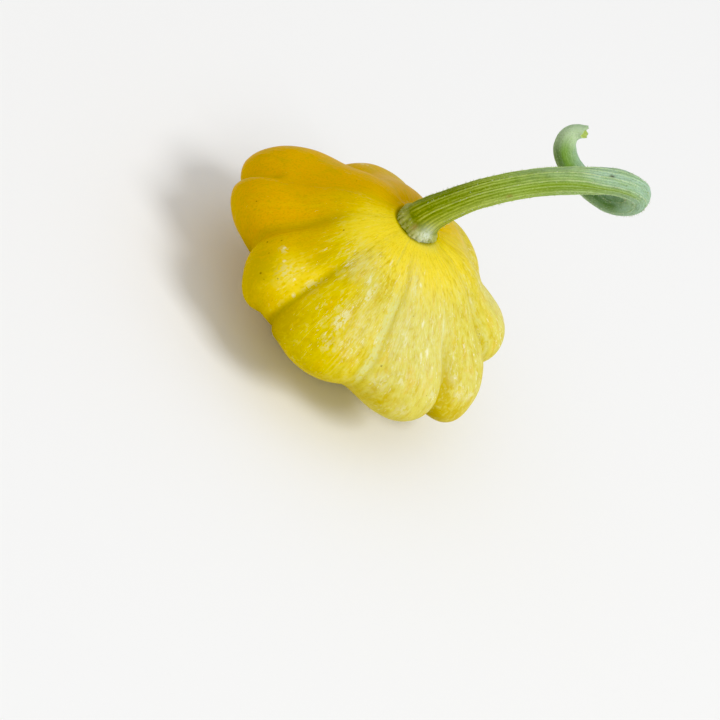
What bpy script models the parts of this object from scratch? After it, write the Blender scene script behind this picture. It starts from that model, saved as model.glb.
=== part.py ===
"""A scallop-edged summer squash (pattypan) with its long curled stalk, in metres, +Z up.

The fruit stands on its flat blossom end, whose middle is the origin, and its axis is +Z. The skin
is one surface: a valley profile turned about the axis, swollen outward between each pair of
valleys into a lobe. The stalk is a ribbed tube swept along a smooth route, with a flared foot that
sits on the fruit's flat seat.
"""

import math

import bmesh
import bpy
import numpy as np

MM = 0.001

# Fruit: the profile of a valley, as (radius, height) in mm from the stalk seat down to the rest
# face. The point at RIM_INDEX is the widest one.
VALLEY_PROFILE = (
    (10.0, 75.0),
    (22.5, 70.3),
    (33.7, 62.5),
    (45.4, 52.0),
    (54.7, 44.5),
    (58.2, 36.0),
    (52.3, 27.0),
    (41.5, 18.0),
    (31.6, 10.0),
    (25.0, 3.5),
    (15.0, 0.0),
)
RIM_INDEX = 5
RIM_RADIUS = VALLEY_PROFILE[RIM_INDEX][0]
REST_RADIUS = VALLEY_PROFILE[-1][0]
SEAT_HEIGHT = VALLEY_PROFILE[0][1]

# Lobes, counter-clockwise. Each row is the azimuth in degrees of the valley that ends the lobe, then
# in mm how far the lobe swells and lifts, and how far outside and above the profile that valley is.
LOBES = (
    (180, 12.0, -2.0, 5.5, -4.5),
    (214, 6.0, 1.5, -7.5, -1.0),
    (254, 7.0, -0.5, -0.5, -2.0),
    (296, 8.0, 0.5, -2.5, -1.0),
    (343, 7.5, -1.0, 0.5, -5.0),
    (375, 10.5, -6.5, -2.5, 0.0),
    (412, 10.5, -1.0, -1.5, -1.5),
    (457, 9.0, -0.5, -0.5, -0.5),
    (502, 7.5, 0.0, -3.0, -1.5),
)
LOBE_FADE = 0.6  # share of the underside over which the lobes die out
LEAN = (-0.5, 1.0)  # mm that the rim rises towards +X and +Y
SHIFT = (-1.5, 1.5)  # mm that the rim is pushed towards +X and +Y
VALLEY_TWIST = math.radians(2.5)  # the valleys turn back by this on their way in to the stalk

# Stalk: the points its centre passes through, from the seat to the torn end, in mm.
STALK_ROUTE = (
    (0.0, 0.0, 75.3),
    (0.2, 0.1, 80.8),
    (1.4, 1.2, 86.1),
    (3.3, 2.9, 90.9),
    (7.2, 6.5, 98.3),
    (13.1, 11.6, 106.3),
    (22.9, 19.2, 116.8),
    (34.0, 26.0, 126.1),
    (44.9, 31.7, 133.6),
    (50.3, 34.4, 135.0),
    (54.7, 38.2, 133.0),
    (56.0, 40.7, 128.4),
    (54.6, 41.8, 124.0),
    (50.5, 42.0, 120.0),
    (45.0, 41.8, 118.1),
    (38.2, 41.7, 117.5),
    (30.4, 42.0, 117.9),
    (24.0, 42.4, 119.7),
    (20.0, 43.2, 122.6),
    (18.5, 44.3, 125.8),
    (18.9, 45.7, 129.3),
    (21.7, 46.6, 133.2),
)
# Stalk radius, as (distance from the seat, radius) in mm: a collar, a flare, a long taper, a thin end.
STALK_RADII = (
    (0.0, 9.7),
    (2.5, 9.7),
    (5.0, 8.2),
    (9.0, 7.1),
    (16.0, 6.5),
    (26.0, 5.9),
    (60.0, 5.65),
    (85.0, 5.5),
    (110.0, 4.9),
    (135.0, 4.7),
    (145.0, 4.4),
    (150.0, 3.7),
    (158.0, 2.7),
)
STALK_RIBS = 5
RIB_DEPTH = 0.05  # share of the stalk's radius

# Mesh fineness.
STEPS_AROUND_FRUIT = 90
ROWS_DOWN_FRUIT = 34
STEPS_AROUND_STALK = 20
ROWS_ALONG_STALK = 72


def smooth_curve(points, samples):
    """Points and parameters of a natural cubic curve through the given points, and the knots' own."""
    knots = np.asarray(points, float)
    steps = np.linalg.norm(np.diff(knots, axis=0), axis=1) ** 0.7
    at = np.concatenate([[0.0], np.cumsum(steps)])
    count = len(at)
    matrix = np.eye(count)
    rhs = np.zeros_like(knots)
    slopes = np.diff(knots, axis=0) / steps[:, None]
    for i in range(1, count - 1):
        matrix[i, i - 1 : i + 2] = (steps[i - 1], 2 * (steps[i - 1] + steps[i]), steps[i])
        rhs[i] = 6 * (slopes[i] - slopes[i - 1])
    bend = np.linalg.solve(matrix, rhs)
    where = np.linspace(0.0, at[-1], samples)
    k = np.clip(np.searchsorted(at, where, side="right") - 1, 0, count - 2)
    b = ((where - at[k]) / steps[k])[:, None]
    a = 1 - b
    curved = ((a**3 - a) * bend[k] + (b**3 - b) * bend[k + 1]) * (steps[k] ** 2 / 6)[:, None]
    return a * knots[k] + b * knots[k + 1] + curved, where, at


def lobe_values(azimuths):
    """Lobe swell and lift, and the valleys' outward and upward offsets, at each azimuth, in mm."""
    swell, lift, out, rise = np.zeros((4, len(azimuths)))
    for index, (end, lobe_swell, lobe_lift, *end_offset) in enumerate(LOBES):
        start, _, _, *start_offset = LOBES[index - 1]
        if index == 0:
            start -= 360
        from_start = (azimuths - start) % 360
        inside = from_start < end - start
        across = from_start[inside] / (end - start)
        bulge = (1 - (2 * across - 1) ** 2) ** 0.9
        blend = across * across * (3 - 2 * across)
        swell[inside] = lobe_swell * bulge
        lift[inside] = lobe_lift * bulge
        out[inside] = start_offset[0] + (end_offset[0] - start_offset[0]) * blend
        rise[inside] = start_offset[1] + (end_offset[1] - start_offset[1]) * blend
    return [values[:, None] for values in (swell, lift, out, rise)]


def fruit_skin(steps, rows):
    """The skin as an array of points in mm, one row of it for each azimuth, from seat to rest face."""
    azimuths = np.arange(steps) * 360.0 / steps
    swell, lift, out, rise = lobe_values(azimuths)
    profile, where, knots = smooth_curve(VALLEY_PROFILE, rows)
    rim = knots[RIM_INDEX]
    above = np.clip(where / rim, 0, 1)
    below = np.clip((where - rim) / (knots[-1] - rim) / LOBE_FADE, 0, 1)
    over_rim = where < rim
    strength = np.where(over_rim, 0.12 * np.sin(math.pi * above) + above**2.4, (1 - below**1.3) ** 1.5)
    reach = np.where(over_rim, above**2, (1 - below**1.5) ** 1.5)

    along = np.gradient(profile, axis=0)
    normal = np.stack([-along[:, 1], along[:, 0]], axis=1)
    normal /= np.linalg.norm(normal, axis=1, keepdims=True)

    radius = profile[:, 0] + swell * strength * normal[:, 0] + out * reach
    height = profile[:, 1] + swell * strength * normal[:, 1] + rise * reach
    outer = np.clip((radius - REST_RADIUS) / (RIM_RADIUS - REST_RADIUS), 0, 1.5) ** 1.2
    outer *= np.where(over_rim, 1.0, reach)
    angle = np.radians(azimuths)[:, None]
    height += outer * (lift * strength + LEAN[0] * np.cos(angle) + LEAN[1] * np.sin(angle))
    radius += outer * (SHIFT[0] * np.cos(angle) + SHIFT[1] * np.sin(angle))
    angle = angle - VALLEY_TWIST * (1 - np.clip(radius / RIM_RADIUS, 0, 1))
    return np.stack([radius * np.cos(angle), radius * np.sin(angle), height], axis=-1)


def stalk_frames(rows):
    """Centres, tangents, sides and the distance along the stalk, with no twist from row to row."""
    centres = smooth_curve(STALK_ROUTE, rows)[0]
    tangents = np.gradient(centres, axis=0)
    tangents[0] = (0.0, 0.0, 1.0)
    tangents /= np.linalg.norm(tangents, axis=1, keepdims=True)
    sides = np.zeros_like(centres)
    side = np.array((1.0, 0.0, 0.0))
    for row, tangent in enumerate(tangents):
        side = side - tangent * (side @ tangent)
        side /= np.linalg.norm(side)
        sides[row] = side
    lengths = np.linalg.norm(np.diff(centres, axis=0), axis=1)
    return centres, tangents, sides, np.concatenate([[0.0], np.cumsum(lengths)])


def stalk_rings(steps, rows):
    """The stalk's surface as an array of points in mm, one closed ring for each row."""
    centres, tangents, sides, distance = stalk_frames(rows)
    others = np.cross(tangents, sides)
    stations, radii = np.array(STALK_RADII).T
    radius = np.interp(distance, stations, radii)[:, None]
    angle = np.arange(steps) * 2 * math.pi / steps
    radius = radius * (1 - RIB_DEPTH / 2 + RIB_DEPTH / 2 * np.cos(STALK_RIBS * angle))
    across = np.cos(angle)[None, :, None] * sides[:, None, :]
    across = across + np.sin(angle)[None, :, None] * others[:, None, :]
    return centres[:, None, :] + radius[..., None] * across, centres[0], centres[-1]


def closed_tube(name, rings, first_centre, last_centre, material):
    """An object from rings of points in mm, closed at both ends by a fan about each centre."""
    mesh = bmesh.new()
    rows = [[mesh.verts.new(point * MM) for point in ring] for ring in rings]
    ends = [mesh.verts.new(np.asarray(point) * MM) for point in (first_centre, last_centre)]
    steps = len(rows[0])
    for i in range(steps):
        j = (i + 1) % steps
        mesh.faces.new((ends[0], rows[0][j], rows[0][i]))
        mesh.faces.new((ends[1], rows[-1][i], rows[-1][j]))
        for upper, lower in zip(rows, rows[1:]):
            mesh.faces.new((upper[i], upper[j], lower[j], lower[i]))
    bmesh.ops.recalc_face_normals(mesh, faces=mesh.faces)
    data = bpy.data.meshes.new(name)
    mesh.to_mesh(data)
    mesh.free()
    data.shade_smooth()
    data.set_sharp_from_angle(angle=math.radians(50))
    data.materials.append(material)
    piece = bpy.data.objects.new(name, data)
    bpy.context.scene.collection.objects.link(piece)
    return piece


def plain_material(name, colour, roughness):
    """A Principled material with one colour and roughness."""
    material = bpy.data.materials.new(name)
    material.use_nodes = True
    shader = material.node_tree.nodes["Principled BSDF"]
    shader.inputs["Base Color"].default_value = (*colour, 1.0)
    shader.inputs["Roughness"].default_value = roughness
    shader.inputs["Metallic"].default_value = 0.0
    return material


def build_fruit():
    """The fruit: one solid body with nine lobes, flat at the seat and at the blossom end."""
    skin = fruit_skin(STEPS_AROUND_FRUIT, ROWS_DOWN_FRUIT)
    rings = np.transpose(skin, (1, 0, 2))
    waxy_yellow = plain_material("waxy_yellow_skin", (0.80, 0.58, 0.04), 0.35)
    return closed_tube("fruit", rings, (0, 0, SEAT_HEIGHT), (0, 0, 0), waxy_yellow)


def build_stalk():
    """The stalk: a ribbed, tapering stem with a flared foot, curling back behind itself."""
    rings, foot, tip = stalk_rings(STEPS_AROUND_STALK, ROWS_ALONG_STALK)
    ribbed_green = plain_material("ribbed_green_stalk", (0.25, 0.36, 0.08), 0.6)
    return closed_tube("stalk", rings, foot, tip, ribbed_green)


def main():
    for thing in list(bpy.data.objects):
        bpy.data.objects.remove(thing, do_unlink=True)
    build_fruit()
    build_stalk()


main()
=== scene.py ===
"""Looks of a scallop-edged summer squash and its long curled stalk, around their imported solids.

Shapes are worked out in millimetres and stored in metres, +Z up, with the origin in the middle of
the face that the fruit rests on. An azimuth is in degrees, counter-clockwise from +X. A station is
the distance down the fruit's skin from the edge of the stalk's seat.
"""

import logging
import math
from dataclasses import dataclass, field
from enum import Enum

import bmesh
import bpy
import numpy as np
from mathutils import Color, Matrix, Vector, noise


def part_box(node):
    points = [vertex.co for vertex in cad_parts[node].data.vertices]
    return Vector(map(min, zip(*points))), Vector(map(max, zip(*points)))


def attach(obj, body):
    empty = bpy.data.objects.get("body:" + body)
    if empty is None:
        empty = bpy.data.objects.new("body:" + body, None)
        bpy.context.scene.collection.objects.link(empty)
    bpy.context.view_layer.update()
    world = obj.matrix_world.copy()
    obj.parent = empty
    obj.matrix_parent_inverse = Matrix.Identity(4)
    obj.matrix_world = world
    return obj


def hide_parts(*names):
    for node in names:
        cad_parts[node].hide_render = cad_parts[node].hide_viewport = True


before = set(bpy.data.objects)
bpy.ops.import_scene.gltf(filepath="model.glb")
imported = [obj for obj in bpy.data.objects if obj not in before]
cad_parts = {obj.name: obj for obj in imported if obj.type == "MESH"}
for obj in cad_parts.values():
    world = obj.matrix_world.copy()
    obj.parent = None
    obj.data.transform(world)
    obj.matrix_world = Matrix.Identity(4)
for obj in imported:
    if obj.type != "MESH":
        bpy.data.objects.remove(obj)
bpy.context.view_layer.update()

MM = 0.001
SEAT_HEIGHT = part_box("fruit")[1].z / MM
BODY = "root"
log = logging.getLogger("squash")


# ---- Numbers -------------------------------------------------------------------------------------


def shade(red: int, green: int, blue: int) -> tuple[float, float, float, float]:
    """The linear, opaque colour that a shader takes for a display colour given from 0 to 255."""
    return (*Color((red / 255, green / 255, blue / 255)).from_srgb_to_scene_linear(), 1.0)


def ease(values: np.ndarray, low: float, high: float) -> np.ndarray:
    """Values eased from 0 at low to 1 at high.

    Args:
        values: What is eased.
        low: The value that gives 0.
        high: The value that gives 1. It may be below low.

    Returns:
        The eased values.
    """
    share = np.clip((values - low) / (high - low), 0, 1)
    return share * share * (3 - 2 * share)


def bell(values: np.ndarray, width: float | np.ndarray) -> np.ndarray:
    """A bell curve: 1 where the values are 0, and 0.61 where they reach the width."""
    return np.exp(-0.5 * (values / width) ** 2)


def evened(values: np.ndarray, reach: int) -> np.ndarray:
    """Values averaged softly with their neighbours, up to reach places away on each side."""
    weights = np.hanning(2 * reach + 1)
    return np.convolve(np.pad(values, reach, mode="edge"), weights / weights.sum(), mode="valid")


def turn_between(first: np.ndarray, second: float) -> np.ndarray:
    """The signed turn in degrees from the angle second to each angle of first, within 180."""
    return (first - second + 180) % 360 - 180


def unit(vectors: np.ndarray) -> np.ndarray:
    """Vectors brought to a length of 1."""
    return vectors / np.maximum(np.linalg.norm(vectors, axis=-1, keepdims=True), 1e-9)


def distances(points: np.ndarray) -> np.ndarray:
    """How far each point is from the first row, measured from row to row."""
    steps = np.linalg.norm(np.diff(points, axis=0), axis=-1)
    return np.concatenate([np.zeros_like(steps[:1]), np.cumsum(steps, axis=0)])


def smooth_curve(points: tuple, samples: int) -> tuple[np.ndarray, np.ndarray, np.ndarray]:
    """A natural cubic curve through points.

    Args:
        points: The points that the curve passes through.
        samples: How many points of the curve to give.

    Returns:
        The curve's points, the parameter at each, and the parameter at each given point.
    """
    knots = np.asarray(points, float)
    # a power below 1 keeps the curve from overshooting
    spans = np.linalg.norm(np.diff(knots, axis=0), axis=1) ** 0.7
    at = np.concatenate([[0.0], np.cumsum(spans)])
    count = len(at)
    matrix = np.eye(count)
    changes = np.zeros_like(knots)
    slopes = np.diff(knots, axis=0) / spans[:, None]
    for i in range(1, count - 1):
        matrix[i, i - 1 : i + 2] = (spans[i - 1], 2 * (spans[i - 1] + spans[i]), spans[i])
        changes[i] = 6 * (slopes[i] - slopes[i - 1])
    bend = np.linalg.solve(matrix, changes)
    where = np.linspace(0.0, at[-1], samples)
    k = np.clip(np.searchsorted(at, where, side="right") - 1, 0, count - 2)
    b = ((where - at[k]) / spans[k])[:, None]
    a = 1 - b
    curved = ((a**3 - a) * bend[k] + (b**3 - b) * bend[k + 1]) * (spans[k] ** 2 / 6)[:, None]
    return a * knots[k] + b * knots[k + 1] + curved, where, at


def lumps(points: np.ndarray, size: float, seed: float) -> np.ndarray:
    """Soft noise from -1 to 1 at each point.

    Args:
        points: An array of points in mm, of any shape.
        size: How far apart the lumps are, in mm.
        seed: Moves the noise, so that two uses differ.

    Returns:
        One value for each point.
    """
    flat = points.reshape(-1, 3) / size + seed
    values = np.fromiter((noise.noise(Vector(point)) for point in flat), float, len(flat))
    return values.reshape(points.shape[:-1])


def each(kind: type, *rows: tuple) -> tuple:
    """One of a kind for each row of its values."""
    return tuple(kind(*row) for row in rows)


# ---- Meshes --------------------------------------------------------------------------------------


def add_object(name: str, data: bpy.types.ID) -> bpy.types.Object:
    """Puts an object into the scene.

    Args:
        name: The object's name.
        data: The mesh, light or camera that it holds.

    Returns:
        The object.
    """
    made = bpy.data.objects.new(name, data)
    bpy.context.scene.collection.objects.link(made)
    return made


def smooth_object(name: str, shell: bmesh.types.BMesh) -> bpy.types.Object:
    """Makes an object with its faces turned outward and smoothly shaded.

    Args:
        name: The object's name.
        shell: A closed mesh in the making, which is used up.

    Returns:
        The object.
    """
    bmesh.ops.recalc_face_normals(shell, faces=shell.faces)
    data = bpy.data.meshes.new(name)
    shell.to_mesh(data)
    shell.free()
    data.shade_smooth()
    return add_object(name, data)


def closed_shell(name: str, rings: np.ndarray, start: np.ndarray, end: np.ndarray) -> bpy.types.Object:
    """A closed skin over rings of points, with a fan at each end.

    Args:
        name: The object's name.
        rings: Points in mm, indexed by ring and by place around it.
        start: The middle of the first ring's fan.
        end: The middle of the last ring's fan.

    Returns:
        The object. Its vertices follow the rings in order, then start, then end.
    """
    count, steps = rings.shape[:2]
    points = np.concatenate([rings.reshape(-1, 3), [start, end]]) * MM
    this = np.arange(count * steps).reshape(count, steps)
    after = np.roll(this, -1, axis=1)
    sides = np.stack([this[:-1], after[:-1], after[1:], this[1:]], axis=-1).reshape(-1, 4)
    middle = np.full(steps, count * steps)
    first_fan = np.stack([middle, after[0], this[0]], axis=-1)
    last_fan = np.stack([middle + 1, this[-1], after[-1]], axis=-1)
    draft = bpy.data.meshes.new("draft")
    draft.from_pydata(points.tolist(), [], sides.tolist() + first_fan.tolist() + last_fan.tolist())
    shell = bmesh.new()
    shell.from_mesh(draft)
    bpy.data.meshes.remove(draft)
    return smooth_object(name, shell)


def store(piece: bpy.types.Object, name: str, values: np.ndarray) -> None:
    """Keeps values on the mesh's points for the material to read.

    Args:
        piece: An object from closed_shell.
        name: The attribute's name.
        values: One number or vector for each point of the rings. The two fans' middles get the
            mean of the first and of the last ring.
    """
    rings = values if values.ndim == 3 else values[..., None]
    flat = rings.reshape(-1, rings.shape[-1])
    full = np.concatenate([flat, [rings[0].mean(axis=0), rings[-1].mean(axis=0)]])
    kind, key = ("FLOAT_VECTOR", "vector") if full.shape[1] == 3 else ("FLOAT", "value")
    attribute = piece.data.attributes.new(name, kind, "POINT")
    attribute.data.foreach_set(key, full.astype(np.float32).ravel())


def store_tones(piece: bpy.types.Object, shape: tuple[int, int], tones: dict[str, np.ndarray]) -> None:
    """Keeps tones on the mesh's points.

    Args:
        piece: An object from closed_shell.
        shape: How many rings it has, and how many points each ring has.
        tones: Each tone's name and strength. A row or a column of values serves for all.
    """
    for name, values in tones.items():
        store(piece, name, np.broadcast_to(values, shape))


def ring_normals(rings: np.ndarray) -> np.ndarray:
    """Unit normals of a skin over rings.

    Args:
        rings: Points, indexed by ring and by place around it.

    Returns:
        One normal for each point: along the rings, crossed with the way around.
    """
    along = np.gradient(rings, axis=0)
    around = np.roll(rings, -1, axis=1) - np.roll(rings, 1, axis=1)
    return unit(np.cross(along, around))


def ring_flow(girth: float, angle: np.ndarray, along: np.ndarray) -> np.ndarray:
    """Where each point lies in the growth's flow, which is a straight tube however the piece bends.

    Args:
        girth: The tube's radius in mm.
        angle: The angle around the piece at each point, in radians.
        along: The distance along the growth at each point, in mm.

    Returns:
        A vector in mm for each point. Its Z runs along the growth.
    """
    return np.stack(np.broadcast_arrays(girth * np.cos(angle), girth * np.sin(angle), along), axis=-1)


# ---- Shader nodes --------------------------------------------------------------------------------


class Sum(Enum):
    """What a Math or Vector Math node works out."""

    ADD = "ADD"
    SUBTRACT = "SUBTRACT"
    MULTIPLY = "MULTIPLY"
    POWER = "POWER"
    LARGER = "MAXIMUM"
    OVER = "GREATER_THAN"
    LENGTH = "LENGTH"


@dataclass(frozen=True, eq=False)
class Signal:
    """What comes out of a node. Sums and products of signals are Math nodes."""

    wiring: "Wiring"
    socket: bpy.types.NodeSocket

    def __add__(self, other: "Feed") -> "Signal":
        """This plus another."""
        return self.wiring.math(Sum.ADD, self, other)

    def __sub__(self, other: "Feed") -> "Signal":
        """This less another."""
        return self.wiring.math(Sum.SUBTRACT, self, other)

    def __rsub__(self, other: float) -> "Signal":
        """A number less this."""
        return self.wiring.math(Sum.SUBTRACT, other, self)

    def __mul__(self, other: "Feed") -> "Signal":
        """This times another."""
        return self.wiring.math(Sum.MULTIPLY, self, other)

    def inverse(self) -> "Signal":
        """One over this."""
        return self.wiring.math(Sum.POWER, self, -1.0)

    def clamped(self) -> "Signal":
        """This, which is a sum or product, kept from 0 to 1."""
        self.socket.node.use_clamp = True
        return self

    def window(self, low: "Feed", high: "Feed") -> "Signal":
        """This eased from 0 to 1.

        Args:
            low: The value that gives 0.
            high: The value that gives 1. It may be below low.

        Returns:
            The eased value.
        """
        made = self.wiring.node("ShaderNodeMapRange", Value=self, From_Min=low, From_Max=high)
        made.interpolation_type = "SMOOTHSTEP"
        return Signal(self.wiring, made.outputs["Result"])


Feed = float | tuple | Signal
Layer = tuple[tuple | Signal, Signal | str, Feed]  # a colour, the mask or kept tone it shows by, its share


class Wiring:
    """A node tree in the making, with one method for each kind of node it uses."""

    def __init__(self, tree: bpy.types.NodeTree) -> None:
        """Starts on an empty or part-made tree."""
        self.tree = tree

    def feed(self, socket: bpy.types.NodeSocket, feed: Feed) -> None:
        """Links a signal to a socket, or sets the socket's value.

        Args:
            socket: An input of a node.
            feed: The signal or the value.
        """
        if isinstance(feed, Signal):
            self.tree.links.new(feed.socket, socket)
        else:
            socket.default_value = feed

    def node(self, kind: str, **inputs: Feed) -> bpy.types.Node:
        """Places a node.

        Args:
            kind: The node's type.
            inputs: What feeds its inputs, by socket name with _ for a space.

        Returns:
            The node.
        """
        made = self.tree.nodes.new(kind)
        for key, feed in inputs.items():
            self.feed(made.inputs[key.replace("_", " ")], feed)
        return made

    def place(self, kind: str, **inputs: Feed) -> Signal:
        """Places a node as node does, and gives its first output."""
        return Signal(self, self.node(kind, **inputs).outputs[0])

    def value(self, name: str) -> Signal:
        """The number that the mesh keeps under that name."""
        return self.attribute(name, "Fac")

    def vector(self, name: str) -> Signal:
        """The vector that the mesh keeps under that name."""
        return self.attribute(name, "Vector")

    def attribute(self, name: str, output: str) -> Signal:
        """What the mesh keeps under a name.

        Args:
            name: The name.
            output: Which output of the Attribute node gives it.

        Returns:
            The kept number or vector.
        """
        made = self.node("ShaderNodeAttribute")
        made.attribute_name = name
        return Signal(self, made.outputs[output])

    def math(self, step: Sum, first: Feed, second: Feed) -> Signal:
        """A Math node's result.

        Args:
            step: What it works out.
            first: Its first input.
            second: Its second input.

        Returns:
            The result.
        """
        made = self.node("ShaderNodeMath")
        made.operation = step.value
        self.feed(made.inputs[0], first)
        self.feed(made.inputs[1], second)
        return Signal(self, made.outputs[0])

    def vector_math(self, step: Sum, first: Feed, second: Feed = (0.0, 0.0, 0.0)) -> Signal:
        """A Vector Math node's result.

        Args:
            step: What it works out.
            first: Its first input.
            second: Its second input. A number stands for three that are alike.

        Returns:
            The result: a number for a length, and a vector otherwise.
        """
        made = self.node("ShaderNodeVectorMath")
        made.operation = step.value
        self.feed(made.inputs[0], first)
        self.feed(made.inputs[1], second)
        return Signal(self, made.outputs["Value" if step is Sum.LENGTH else "Vector"])

    def noise(self, vector: Signal, scale: Feed, detail: float, bend: float = 0.0) -> Signal:
        """A Noise Texture's value.

        Args:
            vector: Where it is read.
            scale: How fine it is.
            detail: How many finer layers it holds.
            bend: How much it is bent.

        Returns:
            The noise, around 0.5.
        """
        return self.place("ShaderNodeTexNoise", Vector=vector, Scale=scale, Detail=detail, Distortion=bend)

    def grain(
        self, flow: Signal, fineness: tuple, detail: float, bend: float = 0.0, shift: tuple = (0.0, 0.0, 0.0)
    ) -> Signal:
        """Noise that can be finer around the growth than along it.

        Args:
            flow: The growth's flow.
            fineness: How fine it is along each axis of the flow, as lumps to the mm.
            detail: How many finer layers it holds.
            bend: How much it is bent.
            shift: Moves it, so that two grains differ.

        Returns:
            The noise, around 0.5.
        """
        where = self.place("ShaderNodeMapping", Vector=flow, Location=shift, Scale=fineness)
        return self.noise(where, 1.0, detail, bend)

    def mix(self, share: Feed, below: Feed, above: Feed) -> Signal:
        """A colour laid over another.

        Args:
            share: How much of the colour above shows.
            below: The colour below.
            above: The colour above.

        Returns:
            The mixed colour.
        """
        made = self.node("ShaderNodeMix")
        made.data_type = "RGBA"
        for index, feed in ((0, share), (6, below), (7, above)):
            self.feed(made.inputs[index], feed)
        return Signal(self, made.outputs[2])

    def layers(self, body: Feed, rows: tuple[Layer, ...]) -> Signal:
        """Colours laid over one another.

        Args:
            body: The lowest colour.
            rows: Each layer from the lowest up: its colour, its mask or the name of the kept tone
                that is its mask, and its share.

        Returns:
            The colour that shows.
        """
        for colour, mask, share in rows:
            shown = self.value(mask) if isinstance(mask, str) else mask
            body = self.mix(shown * share, body, colour)
        return body

    def ramp(self, value: Signal, stops: tuple) -> Signal:
        """A colour that changes with a value.

        Args:
            value: The value, from 0 to 1.
            stops: Pairs of place and colour.

        Returns:
            The colour.
        """
        made = self.node("ShaderNodeValToRGB", Fac=value)
        made.color_ramp.interpolation = "EASE"
        stones = made.color_ramp.elements
        while len(stones) < len(stops):
            stones.new(0.5)
        for stone, (place, colour) in zip(stones, stops):
            stone.position = place
            stone.color = colour
        return Signal(self, made.outputs["Color"])

    def bumps(self, rows: tuple[tuple[Signal, float], ...]) -> Signal:
        """A normal bent by one relief after another.

        Args:
            rows: Each relief's height, from 0 to 1, and how high 1 is, in mm.

        Returns:
            The normal.
        """
        first, *others = rows
        normal = self.place("ShaderNodeBump", Height=first[0], Distance=first[1] * MM)
        for height, rise in others:
            normal = self.place("ShaderNodeBump", Height=height, Distance=rise * MM, Normal=normal)
        return normal

    def group(self, tree: bpy.types.NodeTree, **inputs: Feed) -> Signal:
        """Places a node group.

        Args:
            tree: The group.
            inputs: What feeds its inputs, by name.

        Returns:
            Its output.
        """
        made = self.tree.nodes.new("ShaderNodeGroup")
        made.node_tree = tree
        for key, feed in inputs.items():
            self.feed(made.inputs[key], feed)
        return Signal(self, made.outputs[0])

    def give(self, name: str, signal: Signal) -> bpy.types.NodeTree:
        """Finishes a node group.

        Args:
            name: The name of its output.
            signal: The number that it puts out.

        Returns:
            The group.
        """
        self.tree.interface.new_socket(name, in_out="OUTPUT", socket_type="NodeSocketFloat")
        self.feed(self.tree.nodes.new("NodeGroupOutput").inputs[name], signal)
        return self.tree


def new_group(name: str, inputs: dict[str, Feed]) -> tuple[Wiring, dict[str, Signal]]:
    """An empty node group with named inputs.

    Args:
        name: The group's name.
        inputs: Each input's name and default: a tuple for a vector, a float for a number.

    Returns:
        Its wiring, and its inputs by name.
    """
    tree = bpy.data.node_groups.new(name, "ShaderNodeTree")
    for key, default in inputs.items():
        kind = "NodeSocketVector" if isinstance(default, tuple) else "NodeSocketFloat"
        tree.interface.new_socket(key, in_out="INPUT", socket_type=kind).default_value = default
    wiring = Wiring(tree)
    entry = tree.nodes.new("NodeGroupInput")
    return wiring, {key: Signal(wiring, entry.outputs[key]) for key in inputs}


def new_material(name: str) -> tuple[bpy.types.Material, Wiring, bpy.types.Node]:
    """An empty material with one Principled shader.

    Args:
        name: The material's name.

    Returns:
        The material, its wiring, and the shader.
    """
    material = bpy.data.materials.new(name)
    material.use_nodes = True
    return material, Wiring(material.node_tree), material.node_tree.nodes["Principled BSDF"]


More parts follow.
